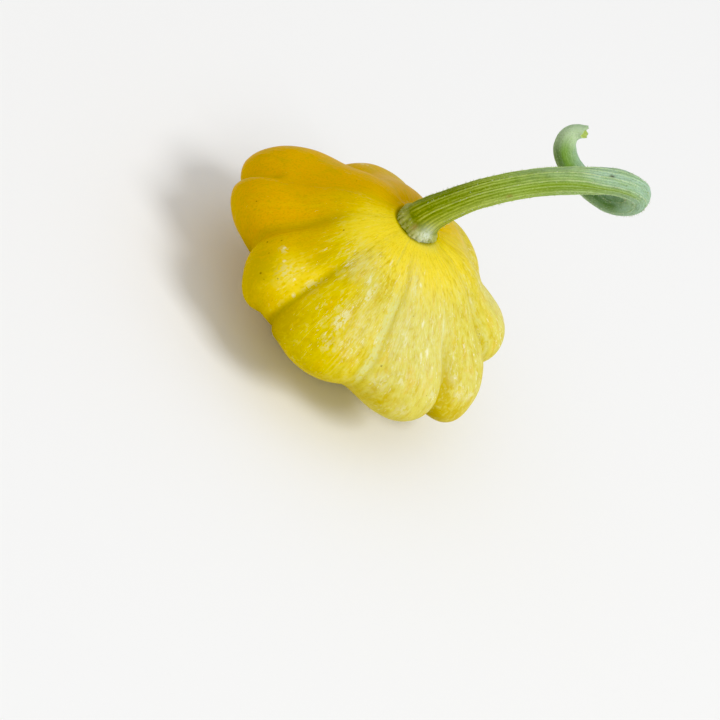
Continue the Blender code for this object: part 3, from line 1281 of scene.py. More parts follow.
    # how finely it is made
    steps_around: int = 400
    rows_down: int = 200
    dish_rows: int = 12
    base_rows: int = 22

    # what follows from these
    rim_radius: float = field(init=False)
    rest_radius: float = field(init=False)
    azimuths: np.ndarray = field(init=False)
    rings: np.ndarray = field(init=False)  # points in mm, from the seat's middle to the rest face's
    radius: np.ndarray = field(init=False)  # each point's distance from the axis
    station: np.ndarray = field(init=False)
    share: np.ndarray = field(init=False)  # each ring's share of the way to the rim, as a column
    crease: np.ndarray = field(init=False)  # the fine creases' depth at each point
    piece: bpy.types.Object = field(init=False)

    def __post_init__(self) -> None:
        """Works out the sizes that follow from the profile."""
        self.rim_radius = self.profile[self.rim_index][0]
        self.rest_radius = self.profile[-1][0]
        self.azimuths = np.arange(self.steps_around) * 360.0 / self.steps_around

    def lobe_values(self) -> np.ndarray:
        """What the lobes and valleys add at each azimuth.

        Returns:
            Swell, lift, outward and upward offset in mm, and drift in degrees, by azimuth.
        """
        values = np.zeros((5, self.steps_around))
        softness = np.zeros(self.steps_around)
        for index, lobe in enumerate(self.lobes):
            before = self.lobes[index - 1]
            start = before.end - (360 if index == 0 else 0)
            from_start = (self.azimuths - start) % 360
            inside = from_start < lobe.end - start
            across = from_start[inside] / (lobe.end - start)
            bulge = (1 - (2 * across - 1) ** 2) ** self.lobe_roundness
            blend = ease(across, 0, 1)
            values[0, inside] = lobe.swell * bulge
            values[1, inside] = lobe.lift * bulge
            values[2, inside] = before.valley_out + (lobe.valley_out - before.valley_out) * blend
            values[3, inside] = before.valley_rise + (lobe.valley_rise - before.valley_rise) * blend
            values[4, inside] = before.drift + (lobe.drift - before.drift) * blend
            gain = np.where(across < 0.5, before.softness, lobe.softness) - self.least_softness
            softness[inside] = self.least_softness + gain * np.abs(2 * across - 1) ** 3
        softness = softness @ self.rounding(np.full(self.steps_around, self.softness_spread)).T
        return values @ self.rounding(softness).T

    def rounding(self, width: np.ndarray) -> np.ndarray:
        """Weights that round values off around the fruit.

        Args:
            width: How far the rounding reaches at each azimuth, in degrees.

        Returns:
            For each azimuth, the weights of all the others, which sum to 1.
        """
        weights = bell(turn_between(self.azimuths[:, None], self.azimuths[None, :]), width[:, None])
        return weights / weights.sum(axis=1, keepdims=True)

    def shape_body(self) -> tuple[np.ndarray, np.ndarray]:
        """The skin from the seat's edge to the rest face, before its fine relief.

        Returns:
            Points in mm by row and azimuth, and each row's share of the way to the rim, then past it.
        """
        swell, lift, out, rise, drift = self.lobe_values()
        profile, where, knots = smooth_curve(self.profile, self.rows_down)
        rim = knots[self.rim_index]
        along = np.gradient(profile, axis=0)
        normal = unit(np.stack([-along[:, 1], along[:, 0]], axis=1))
        where = where[:, None]
        above = np.clip(where / rim, 0, 1)
        below = np.clip((where - rim) / (knots[-1] - rim) / self.lobe_fade, 0, 1)
        over_rim = where < rim
        gained = self.shoulder_swell * np.sin(math.pi * above) + above**self.lobe_onset
        strength = np.where(over_rim, gained, (1 - below**self.swell_fade) ** 1.5)
        reach = np.where(over_rim, above**2, (1 - below**self.valley_fade) ** 1.5)

        radius = profile[:, :1] + swell * strength * normal[:, :1] + out * reach
        height = profile[:, 1:] + swell * strength * normal[:, 1:] + rise * reach
        outer = (radius - self.rest_radius) / (self.rim_radius - self.rest_radius)
        outer = np.clip(outer, 0, 1.5) ** 1.2 * np.where(over_rim, 1.0, reach)
        angle = np.radians(self.azimuths)[None, :]
        height += outer * (lift * strength + self.lean[0] * np.cos(angle) + self.lean[1] * np.sin(angle))
        radius += outer * (self.shift[0] * np.cos(angle) + self.shift[1] * np.sin(angle))
        angle = angle - self.valley_twist * (1 - np.clip(radius / self.rim_radius, 0, 1))
        angle = angle + np.radians(drift) * np.sin(math.pi * above) ** 0.8
        return np.stack([radius * np.cos(angle), radius * np.sin(angle), height], axis=-1), where / rim

    def shape_disc(self, edge: np.ndarray, level: np.ndarray) -> np.ndarray:
        """Rings that close a flat end of the body.

        Args:
            edge: The body's last ring.
            level: How far above the edge each ring is, from the outermost in, in mm.

        Returns:
            The rings, from the outermost in.
        """
        middle = edge.mean(axis=0)
        rings = middle + (edge[None] - middle) * self.disc_shares(len(level))[:, None, None]
        rings[..., 2] = edge[None, :, 2] + level[:, None]
        return rings

    def disc_shares(self, count: int) -> np.ndarray:
        """How far out each of a disc's rings is, as shares of its radius, from the outermost in."""
        return np.linspace(1, 0, count + 2)[1:-1]

    def across(self, azimuth: float, radius: np.ndarray) -> np.ndarray:
        """How far round the fruit each point is from an azimuth, in mm."""
        return np.radians(turn_between(self.azimuths, azimuth))[None, :] * radius

    def covers(self, spots: tuple[Spot, ...], radius: np.ndarray, station: np.ndarray) -> np.ndarray:
        """How strongly spots cover each point.

        Args:
            spots: The spots.
            radius: Each point's distance from the fruit's axis.
            station: Each point's station.

        Returns:
            From 0 to the spot's amount at each point, by spot.
        """
        covers = []
        for spot in spots:
            across = self.across(spot.azimuth, radius)
            covers.append(spot.amount * bell(across, spot.across) * bell(station - spot.station, spot.down))
        return np.array(covers)

    def shape(self) -> None:
        """Works out the whole skin and the facts about it that the material reads."""
        body, share = self.shape_body()
        station = distances(body)
        body[..., :2] += ease(station, self.seat_spread, 0.0)[..., None] * self.seat_shift
        radius = np.hypot(body[..., 0], body[..., 1])
        relief = sum(height * lumps(body, size, seed) for height, size, seed in self.lump_sizes)
        relief *= ease(station, *self.lump_start) * ease(body[..., 2], *self.lump_floor)
        crease = np.zeros_like(station)
        for lobe in self.lobes:
            away = self.across(lobe.end, radius)
            stray, length = self.crease_wander
            line = bell(away + stray * lumps(body, length, lobe.end), self.crease_width)
            set_in = ease(share, lobe.reach, lobe.reach + self.crease_onset)
            crease += lobe.crease * line * set_in * ease(share, *self.crease_end)
            set_in = ease(share, lobe.reach, lobe.reach + self.groove_onset * (1 - lobe.reach))
            relief -= lobe.groove * bell(away, lobe.groove_width) * set_in * ease(share, *self.groove_end)
        relief += self.covers(self.swellings, radius, station).sum(axis=0) - crease
        relief += self.folds(station) + self.lip_height * bell(station - self.lip_station, self.lip_width)
        body = body + ring_normals(body) * relief[..., None]

        dish = -self.dish_depth * ease(np.arange(self.dish_rows) + 1.0, 0, self.dish_slope)
        seat = self.shape_disc(body[0], dish)[::-1]
        base = self.shape_disc(body[-1], self.scar_level())
        added = ((self.dish_rows, self.base_rows), (0, 0))
        self.rings = np.concatenate([seat, body, base])
        self.radius = np.hypot(self.rings[..., 0], self.rings[..., 1])
        self.station = np.pad(station, added, mode="edge")
        self.crease = np.pad(crease, added)
        self.share = np.pad(share, added, mode="edge")

    def folds(self, station: np.ndarray) -> np.ndarray:
        """The fine folds that run out from under the stalk.

        Args:
            station: The station at each point.

        Returns:
            Their height in mm, which is not above 0.
        """
        draw = np.random.default_rng(12)
        depth = np.zeros(self.steps_around)
        spacing = 360 / self.fold_count
        for index in range(self.fold_count):
            middle = (index + draw.uniform(-0.3, 0.3)) * spacing
            width = spacing * draw.uniform(0.16, 0.3)
            depth += draw.uniform(0.3, 1.0) * bell(turn_between(self.azimuths, middle), width)
        fade = ease(station, 0.0, 1.5) * ease(station, self.fold_reach, 3.0) ** 1.5
        return -self.fold_depth * depth[None, :] * fade

    def scar_level(self) -> np.ndarray:
        """How far the blossom scar's rings are above the rest face.

        Returns:
            Heights in mm by ring, from the outermost in.
        """
        radius = self.disc_shares(self.base_rows) * self.rest_radius
        return self.scar_depth * (bell(radius - self.scar_radius, 1.0) + 0.5 * ease(radius, 5.0, 2.0))

    def liveliness(self, sunny: np.ndarray) -> np.ndarray:
        """How thickly the skin is streaked.

        Args:
            sunny: How far each point is on the sunny side, from 0 to 1.

        Returns:
            From 0 to 1 at each point: least on the shaded side, by the seat and below the rim.
        """
        open_skin = ease(sunny, *self.streak_sun) * ease(self.station, *self.streak_start)
        lively = self.least_streaks + self.streak_gain * open_skin
        lively *= 1 - self.low_side_loss * ease(self.share, 1.0, 1.3) * ease(sunny, 0.9, 0.6)
        return np.clip(lively * (1 - self.rim_loss * ease(self.share, 0.88, 1.04)), 0, 1)

    def pale_bands(self) -> np.ndarray:
        """How pale the valleys' bands make the skin.

        Returns:
            From 0 to 1 at each point.
        """
        cover = np.zeros_like(self.radius)
        for band in self.bands:
            cover += band.strength * bell(self.across(band.azimuth, self.radius) + band.lean, band.width)
        return np.clip(cover * ease(self.station, *self.band_start) * ease(self.share, *self.band_end), 0, 1)

    def valley_shades(self) -> np.ndarray:
        """How dark the painted shade in the valleys makes the skin.

        Returns:
            From 0 to 1 at each point.
        """
        cover = np.zeros_like(self.radius)
        for valley in self.shaded_valleys:
            away = self.across(valley.azimuth, self.radius)
            line = ease(away, valley.width, 0.0) * ease(away, -self.shade_lap * valley.width, 0.0)
            cover += valley.strength * line * ease(self.share, valley.reach, valley.reach + self.shade_onset)
        return np.clip(cover, 0, 1)

    def blossom_scar(self) -> np.ndarray:
        """How corky each point is, from 0 to 1: a ring and a dot on the rest face."""
        cork = bell(self.radius - self.scar_radius, 1.2) + ease(self.radius, 3, 1)
        return np.clip((self.rings[..., 2] < 2.0) * cork, 0, 1)

    def paint(self) -> None:
        """Keeps on the mesh what its material reads: the growth's flow and where each tone lies."""
        store(self.piece, "growth_flow", ring_flow(self.rim_radius, np.radians(self.azimuths), self.station))
        store(self.piece, "place_mm", self.rings)
        # sunny: how far each point is on the lit side; where it is low, the gold is partly painted shade
        early = self.early_sun * ease(self.share, 0.8, 0.1) * (self.azimuths < self.sunny_azimuth)
        turn = turn_between(self.azimuths, self.sunny_azimuth)[None, :] + early
        sunny = 0.5 + 0.5 * np.cos(np.radians(turn))
        seat_radius = self.profile[0][0]
        past_seat = ease(self.radius, seat_radius, seat_radius + self.shoulder_onset)
        tones = {
            "sunny": sunny,
            "streaked": self.liveliness(sunny),
            # painted light: the lit side's bright shoulder round the seat
            "shoulder": ease(self.station, *self.shoulder_end) * ease(sunny, *self.shoulder_sun) * past_seat,
            # painted shade on the underside
            "painted_underside_shade": ease(self.share, *self.underside_start),
            "pale_band": self.pale_bands(),
            "painted_valley_shade": self.valley_shades(),
            # painted shade along the creases
            "crease": np.clip(2 * self.crease, 0, 1),
            # painted shadow round the stalk's foot
            "foot_shade": self.foot_shade_strength * ease(self.station, 1.4, 0.2) * ease(self.radius, 3, 6),
            "scar": self.blossom_scar(),
        }
        patches = {
            "pale_patch": self.pale_patches,
            # painted light on the lobes' crowns
            "painted_light_patch": self.painted_light_patches,
            "milky": self.milky_patches,
            # painted shadow on the underside
            "painted_shadow_patch": self.painted_shadow_patches,
            # the skin's amber, partly painted shade
            "gold_and_shade_patch": self.gold_and_shade_patches,
        }
        for name, spots in patches.items():
            tones[name] = self.covers(spots, self.radius, self.station).max(axis=0)
        store_tones(self.piece, self.radius.shape, tones)

    def in_flow(self, spots: tuple[Spot, ...]) -> tuple:
        """Where small spots lie in the growth's flow.

        Args:
            spots: The spots.

        Returns:
            For each, its centre, one over its reach along each axis, and its strength.
        """
        places = []
        for spot in spots:
            column = int(round(spot.azimuth / 360 * self.steps_around)) % self.steps_around
            stations = self.station[self.dish_rows :, column]
            row = self.dish_rows + int(np.argmin(np.abs(stations - spot.station)))
            turn = math.radians(spot.azimuth)
            centre = (self.rim_radius * math.cos(turn), self.rim_radius * math.sin(turn), spot.station)
            around = self.radius[row, column] / self.rim_radius / spot.across
            places.append((centre, (around, around, 1 / spot.down), spot.amount))
        return tuple(places)

    def build(self) -> bpy.types.Object:
        """Makes the fruit, dressed and riding on its body.

        Returns:
            The object.
        """
        self.shape()
        seat_middle, rest_middle = (self.rings[end].mean(axis=0) for end in (0, -1))
        self.piece = closed_shell("fruit_skin", self.rings, seat_middle, rest_middle)
        self.paint()
        skin = WaxySkin(self.surface, self.in_flow(self.flecks_and_glints), self.in_flow(self.freckles))
        self.piece.data.materials.append(skin.build())
        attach(self.piece, BODY)
        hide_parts("fruit")
        return self.piece


# ---- The stalk -----------------------------------------------------------------------------------

PAST_THE_END = (1000.0, 900.0)  # an end for a strip that runs on to the stalk's tip
ALL_ROUND = 1e6  # a width for a strip that goes evenly around


@dataclass(frozen=True)
class Strip:
    """A tone on one side of the stalk, over a stretch of its length."""

    side: float  # the angle of its middle, in degrees
    width: float  # its spread around the stalk, in degrees
    start: tuple[float, float]  # where it sets in, in mm along the stalk
    end: tuple[float, float]  # where it is gone and where it starts to go
    strength: float = 1.0

    def cover(self, turned: np.ndarray, down: np.ndarray) -> np.ndarray:
        """How strongly it covers each point.

        Args:
            turned: The angle at each point in degrees, less the turn of the ridges.
            down: The distance along the stalk in mm.

        Returns:
            From 0 to its strength at each point.
        """
        stretch = ease(down, *self.start) * ease(down, *self.end)
        return self.strength * bell(turn_between(turned, self.side), self.width) * stretch


@dataclass(frozen=True)
class Nick:
    """A small mark on the stalk."""

    side: float  # in degrees
    width: float  # in degrees
    place: float  # in mm along the stalk
    length: float  # in mm

    def cover(self, turned: np.ndarray, down: np.ndarray) -> np.ndarray:
        """How strongly it covers each point, from the angles and distances that a strip takes too."""
        return bell(turn_between(turned, self.side), self.width) * bell(down - self.place, self.length)


def total(marks: tuple[Strip | Nick, ...], turned: np.ndarray, down: np.ndarray) -> np.ndarray:
    """How strongly marks cover each point together, where their strengths add up."""
    return sum(mark.cover(turned, down) for mark in marks)


def most(marks: tuple[Strip | Nick, ...], turned: np.ndarray, down: np.ndarray) -> np.ndarray:
    """How strongly the strongest of some marks covers each point."""
    return np.maximum.reduce([mark.cover(turned, down) for mark in marks])


@dataclass
class Stalk:
    """The stalk: a ribbed stem on a knobbly collar, curling back behind itself to a torn end."""

    surface: PlantSurface
    route: tuple = (
        (-1.3, -2.6, SEAT_HEIGHT), (-1.0, -2.0, 80.4), (0.6, -0.2, 85.8), (3.0, 2.2, 90.8), (7.2, 6.5, 98.3),
        (13.1, 11.6, 106.3), (22.9, 19.2, 116.8), (34.0, 26.0, 126.1), (44.9, 31.7, 133.6),
        (50.3, 34.4, 135.0), (54.7, 38.2, 133.0), (56.0, 40.7, 128.4), (54.6, 41.8, 124.0),
        (50.5, 42.0, 120.0), (45.0, 41.8, 118.1), (38.2, 41.7, 117.5), (30.4, 42.0, 117.9),
        (24.0, 42.4, 119.7), (20.2, 43.3, 122.7), (18.8, 44.4, 125.9), (19.4, 45.6, 129.2),
        (22.5, 46.1, 132.5),
    )
    radii: tuple = (  # distance along the stalk, and its radius there
        (0.0, 9.2), (2.5, 9.2), (5.0, 8.0), (9.0, 7.0), (16.0, 6.4), (26.0, 5.8), (60.0, 5.65), (85.0, 5.5),
        (110.0, 4.9), (135.0, 4.8), (145.0, 4.75), (150.0, 4.1), (154.0, 3.2), (158.0, 2.6),
    )
    ribs: int = 5
    rib_depth: float = 0.05  # share of the radius
    ridge_count: int = 30
    ridge_widths: tuple[float, float] = (1.5, 2.6)  # in degrees
    main_ridges: tuple = (264.0, 316.0, 12.0, 66.0, 128.0, 188.0, 229.0)  # angles in degrees
    main_width: float = 1.6
    main_share: float = 0.35  # how much higher the main ridges stand
    ridge_height: float = 0.3
    ridge_fade: tuple[float, float] = (74.0, 104.0)  # where the ridges flatten, in mm along the stalk
    ridge_loss: float = 0.75  # the share of their height that they lose there
    ridge_tone_loss: float = 0.86
    ridge_onset: float = 4.0  # how far past the collar the ridges' tone is full, in mm
    groove_tones: tuple[float, float] = (0.55, 0.33)  # how dark the painted shade in the grooves is by the foot, and the loss
    groove_fade: tuple[float, float] = (15.0, 80.0)
    turning: tuple = (  # distance along the stalk, and the ridges' turn there in degrees
        (0.0, 0.0), (64.0, -2.0), (72.0, 4.0), (80.0, 21.0), (88.0, 25.0), (96.0, 20.0), (160.0, 20.0),
    )
    knob_count: int = 26
    knob_height: float = 0.6
    collar_height: float = 3.6
    waist_depth: float = 0.25
    waist_length: float = 0.5
    sink: float = 0.8  # how far the collar goes down into the seat
    rough_lumps: tuple = (0.12, 5.0, 2.2)  # height and spacing in mm, seed
    fine_lumps: tuple = (0.1, 1.4, 6.2)
    collar_roughness: float = 0.6  # how much higher the fine lumps are on the collar
    tear_depth: float = 1.6
    tear_slope: float = 0.9  # how much shorter the torn end is on one side, in mm
    tear_side: float = math.radians(100.0)
    tear_rows: int = 12
    torn_face: tuple = ((0.9, 0.15), (0.75, 0.9), (0.5, 1.7), (0.2, 2.0))  # share of the radius, depth in mm
    torn_middle: float = 2.05

    # where its tones lie
    flow_girth: float = 6.0
    lime: tuple[Strip, ...] = each(
        Strip, (280, 7, (40, 60), (100, 88)), (296, 13, (40, 56), (88, 74), 0.75)
    )
    # a deeper green and painted shade inside the curl and on the tail's shaded side
    deep_green_and_shade: tuple[Strip, ...] = each(
        Strip, (350, 34, (104, 114), (132, 122)), (328, 32, (122, 132), (157, 149))
    )
    # bloom, partly painted light on the lit side
    outer_bloom_and_light: tuple[Strip, ...] = each(
        Strip, (228, 30, (64, 80), PAST_THE_END), (0, ALL_ROUND, (84, 98), PAST_THE_END, 0.6)
    )
    deep_bloom_loss: float = 0.6  # how much of the outer bloom the deep green and painted shade take away
    # bloom, partly painted light on the lit side
    inner_bloom_and_light: tuple[Strip, ...] = each(
        Strip, (70, 24, (124, 138), PAST_THE_END), (150, 60, (36, 60), (104, 92))
    )
    # painted shade on stretches of the stalk's upper and lower edges
    painted_shade: tuple[Strip, ...] = each(
        Strip,
        (205, 24, (4, 9), (36, 18)),
        (304, 16, (44, 58), (112, 92), 0.35),
        (218, 20, (40, 50), (74, 62), 0.3),
    )
    pale_side: tuple[Strip, ...] = each(
        Strip, (318, 14, (5, 12), (62, 34)), (10, 70, (142, 152), PAST_THE_END, 2.2)
    )
    tail_strip: tuple[Strip, ...] = each(Strip, (10, 19, (122, 132), (154, 144)))
    # pale wax on the foot's lower side, partly a painted highlight
    wax_and_highlight: tuple[Nick, ...] = each(Nick, (313, 17, 2.9, 2.8))
    scuffs: tuple[Nick, ...] = each(Nick, (270, 5, 3.4, 0.7), (305, 6, 41.0, 1.0))
    wound: tuple[Nick, ...] = each(Nick, (220, 3.4, 82.6, 0.7))
    steps_around: int = 216
    rows_along: int = 440

    # what follows from these
    distance: np.ndarray = field(init=False)  # each ring's distance along the stalk
    length: float = field(init=False)
    angle: np.ndarray = field(init=False)
    tangents: np.ndarray = field(init=False)
    ridge: np.ndarray = field(init=False)  # how much of a ridge each point is on
    main: np.ndarray = field(init=False)
    knobs: np.ndarray = field(init=False)
    collar: np.ndarray = field(init=False)
    rings: np.ndarray = field(init=False)
    caps: list = field(init=False)
    piece: bpy.types.Object = field(init=False)

    def spokes(self) -> np.ndarray:
        """The ways out from the route. Each ring's first is carried along the route without a twist.

        Returns:
            Unit vectors, by ring and by place around.
        """
        sides = np.zeros_like(self.tangents)
        side = np.array((1.0, 0.0, 0.0))
        for row, tangent in enumerate(self.tangents):
            side = unit(side - tangent * (side @ tangent))
            sides[row] = side
        others = np.cross(self.tangents, sides)
        return np.cos(self.angle)[:, None] * sides[:, None] + np.sin(self.angle)[:, None] * others[:, None]

    def relief(self) -> np.ndarray:
        """How far the ridges, the collar's knobs and the waist above it stand out.

        Returns:
            Heights in mm, by ring and by place around.
        """
        fade = 1 - self.ridge_loss * ease(self.distance, *self.ridge_fade)
        start = ease(self.distance, self.collar_height * 0.7, self.collar_height * 2.2)
        tip = ease(self.distance, self.length, self.length - 6)
        shown = self.ridge_height * (fade * start * tip)[:, None]
        ridges = (self.ridge + self.main_share * self.main) * shown
        band = np.sin(np.clip(self.distance / self.collar_height, 0, 1) * math.pi) ** 0.6
        knobs = self.knob_height * (self.collar * band)[:, None] * self.knobs
        waist = self.waist_depth * bell(self.distance - self.collar_height - 0.5, self.waist_length)
        return ridges + knobs - waist[:, None]

    def shape(self) -> None:
        """Works out the stalk's rings, and what its material reads."""
        centres = smooth_curve(self.route, self.rows_along)[0]
        tangents = np.gradient(centres, axis=0)
        tangents[0] = (0.0, 0.0, 1.0)
        self.tangents = unit(tangents)
        self.distance = distances(centres)
        self.length = self.distance[-1]
        self.angle = np.arange(self.steps_around) * 2 * math.pi / self.steps_around
        self.ridge, self.main = self.ridge_pattern()
        uneven = 0.25 * np.sin(5 * self.angle + 1.0) + 0.2 * np.sin(3 * self.angle)
        self.knobs = np.abs(np.cos(self.knob_count / 2 * (self.angle + 0.3 * uneven))) ** 0.6 * (0.8 + uneven)
        self.collar = ease(self.distance, self.collar_height + 1.2, self.collar_height - 0.4)

        plain = evened(np.interp(self.distance, *np.array(self.radii).T), 8)
        ribs = 1 + self.rib_depth / 2 * (np.cos(self.ribs * self.angle) - 1)
        out = self.spokes()
        rings = centres[:, None] + (plain[:, None] * ribs + self.relief())[..., None] * out
        rings[..., 2] -= ease(self.distance, 4.0, 0.0)[:, None] * self.sink
        height, size, seed = self.fine_lumps
        fine = (height + self.collar_roughness * self.collar[:, None]) * lumps(rings, size, seed)
        height, size, seed = self.rough_lumps
        rings += (height * lumps(rings, size, seed) + fine)[..., None] * out
        torn = np.linspace(0, 1, self.tear_rows)[:, None] * self.tear()
        rings[-self.tear_rows :] += torn[..., None] * self.tangents[-self.tear_rows :, None]
        self.close_ends(rings, centres)

    def around(self) -> np.ndarray:
        """The angle at each point in degrees, less the turn that the ridges take along the stalk."""
        turn = evened(np.interp(self.distance, *np.array(self.turning).T), 12)
        return np.degrees(self.angle)[None, :] - turn[:, None]

    def wave(self, draw: np.random.Generator, shortest: float, longest: float) -> np.ndarray:
        """A drawn wave along the stalk, from -1 to 1, as a column.

        Args:
            draw: Where its numbers are drawn.
            shortest: The least distance over which it turns by a radian, in mm.
            longest: The greatest.

        Returns:
            Its value for each ring.
        """
        return np.sin(self.distance / draw.uniform(shortest, longest) + draw.uniform(0, 6))[:, None]

    def ridge_pattern(self) -> tuple[np.ndarray, np.ndarray]:
        """The ridges' heights around the stalk.

        Returns:
            All ridges and the main ones, from 0 to about 1, by row and by place around.
        """
        draw = np.random.default_rng(5)
        spacing = 360 / self.ridge_count
        around = self.around()
        ridge = np.zeros_like(around)
        main = np.zeros_like(around)
        for index in range(self.ridge_count):
            middle = (index + draw.uniform(-0.25, 0.25)) * spacing
            width = draw.uniform(*self.ridge_widths)
            wander = self.wave(draw, 9, 16)
            fade = 0.7 + 0.3 * self.wave(draw, 5, 12)
            ridge += bell(turn_between(around + wander, middle), width) * fade * draw.uniform(0.5, 1.0)
        for middle in self.main_ridges:
            wander = 0.8 * self.wave(draw, 9, 16)
            main += bell(turn_between(around + wander, middle), self.main_width)
        return np.maximum(ridge, main), main

    def tear(self) -> np.ndarray:
        """How far the torn end reaches past a square cut.

        Returns:
            Distances in mm, by place around.
        """
        points = np.abs(np.cos(self.angle + 0.6)) ** 3 + 0.35 * np.sin(3.5 * self.angle) ** 2
        slope = self.tear_slope * (0.3 + np.cos(self.angle - self.tear_side))
        return self.tear_depth * (points - 0.5) - slope

    def close_ends(self, rings: np.ndarray, centres: np.ndarray) -> None:
        """Keeps the stalk's rings with a hollow torn face, and the middles of the two end fans.

        Args:
            rings: The stalk's rings.
            centres: Their middles.
        """
        middle = centres[-1]
        tangent = self.tangents[-1]
        face = []
        for share, depth in self.torn_face:
            ring = middle + (rings[-1] - middle) * share
            flattened = ring - tangent * ((ring - middle) @ tangent)[:, None] * (1 - share)
            face.append(flattened - tangent * depth)
        self.rings = np.concatenate([rings, np.array(face)])
        self.caps = [centres[0] - (0.0, 0.0, self.sink), middle - tangent * self.torn_middle]

    def paint(self) -> None:
        """Keeps on the mesh what its material reads: the growth's flow and where each tone lies."""
        added = ((0, len(self.torn_face)), (0, 0))
        turned = np.pad(self.around(), added, mode="edge")
        down = np.pad(self.distance[:, None], added, mode="edge")
        lime = most(self.lime, turned, down)
        deep_green_and_shade = total(self.deep_green_and_shade, turned, down)
        outer_bloom_and_light = most(self.outer_bloom_and_light, turned, down) * (1 - self.deep_bloom_loss * deep_green_and_shade)
        bloom_and_light = np.maximum(outer_bloom_and_light, most(self.inner_bloom_and_light, turned, down))
        start = ease(down, self.collar_height, self.collar_height + self.ridge_onset)
        shown = (1 - self.ridge_tone_loss * ease(down, *self.ridge_fade)) * start
        low = ease(down, 0.3, 1.0) * ease(down, self.collar_height, 0.8)
        foot_groove, groove_loss = self.groove_tones
        cut = np.zeros_like(down)
        cut[-len(self.torn_face) :] = 1
        tones = {
            "along": down / self.length,
            "ridge": np.clip(np.pad(self.ridge, added) * shown, 0, 1),
            "main_ridge": np.clip(np.pad(self.main, added) * shown, 0, 1),
            # painted shade in the grooves between the ridges
            "groove_shade": foot_groove - groove_loss * ease(down, *self.groove_fade),
            "collar": 0.9 * np.pad(self.collar[:, None], added),
            "knob_tops": np.clip(low * (self.knobs - 0.5) * 1.6, 0, 1),
            # painted shade in the gaps between the collar's knobs
            "painted_knob_gap_shade": np.clip(low * (0.55 - self.knobs) * 2.4, 0, 1),
            "lime": lime,
            # deeper green and painted shade
            "deep_green_and_shade": deep_green_and_shade,
            # bloom, partly painted light
            "bloom_and_light": np.clip(bloom_and_light * (1 - lime), 0, 1),
            # painted shade on the stalk's edges
            "painted_shade": total(self.painted_shade, turned, down),
            "pale_side": total(self.pale_side, turned, down),
            "tail_strip": total(self.tail_strip, turned, down),
            # pale wax, partly a painted highlight
            "wax_and_highlight": total(self.wax_and_highlight, turned, down),
            "scuff": total(self.scuffs, turned, down),
            "wound": total(self.wound, turned, down),
            "cut": cut,
        }
        store(self.piece, "growth_flow", ring_flow(self.flow_girth, self.angle, down))
        store_tones(self.piece, turned.shape, tones)

    def build(self) -> bpy.types.Object:
        """Makes the stalk, dressed and riding on its body.

        Returns:
            The object.
        """
        self.shape()
        self.piece = closed_shell("stalk_rind", self.rings, *self.caps)
        self.paint()
        self.piece.data.materials.append(RibbedRind(self.surface).build())
        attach(self.piece, BODY)
        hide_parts("stalk")
        return self.piece


@dataclass
class Bristles:
    """The short stiff hairs along the stalk's ridges."""

    stalk: Stalk
    count: int = 900
    length: tuple[float, float] = (0.4, 1.0)
    width: float = 0.11
    root: float = 0.1  # how deep each stands in the rind, in mm
    lean: float = 0.35  # how far each leans toward the stalk's tip, beside its rise
    scatter: float = 0.25
    bare_rows: tuple[int, int] = (26, 90)  # rings without hairs at the stalk's foot and tip
    sides: int = 5

    def build(self) -> bpy.types.Object:
        """Makes the bristles as one piece, riding on the stalk's body.

        Returns:
            The object.
        """
        draw = np.random.default_rng(21)
        hair = bmesh.new()
        rings = self.stalk.rings
        normals = -ring_normals(rings)
        for _ in range(self.count):
            row = int(draw.integers(self.bare_rows[0], self.stalk.rows_along - self.bare_rows[1]))
            chances = self.stalk.ridge[row] * draw.uniform(0.3, 1.0, self.stalk.steps_around)
            column = int(np.argmax(chances))
            way = normals[row, column] + self.lean * self.stalk.tangents[row]
            way = unit(way + draw.normal(0, self.scatter, 3))
            self.add_hair(hair, Vector(rings[row, column]), Vector(way), draw.uniform(*self.length))
        piece = smooth_object("stalk_bristles", hair)
        shares = ([0.0] * self.sides + [1.0]) * self.count
        piece.data.attributes.new("along", "FLOAT", "POINT").data.foreach_set("value", shares)
        flow = piece.data.attributes.new("growth_flow", "FLOAT_VECTOR", "POINT")
        flow.data.foreach_set("vector", np.array([v.co for v in piece.data.vertices]).ravel() / MM)
        piece.data.materials.append(PaleHair().build())
        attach(piece, BODY)
        return piece

    def add_hair(self, mesh: bmesh.types.BMesh, foot: Vector, way: Vector, length: float) -> None:
        """Adds one closed cone.

        Args:
            mesh: The mesh that takes it.
            foot: Where it stands, in mm.
            way: Which way it points.
            length: How long it is, in mm.
        """
        turn = Vector((0, 0, 1)).rotation_difference(way).to_matrix()
        ring = []
        for index in range(self.sides):
            angle = 2 * math.pi * index / self.sides
            spoke = Vector((math.cos(angle), math.sin(angle), 0)) * self.width
            ring.append(mesh.verts.new((foot + turn @ spoke - way * self.root) * MM))
        tip = mesh.verts.new((foot + way * length) * MM)
        mesh.faces.new(ring[::-1])
        for index in range(self.sides):
            mesh.faces.new((ring[index], ring[(index + 1) % self.sides], tip))


# ---- The studio ----------------------------------------------------------------------------------


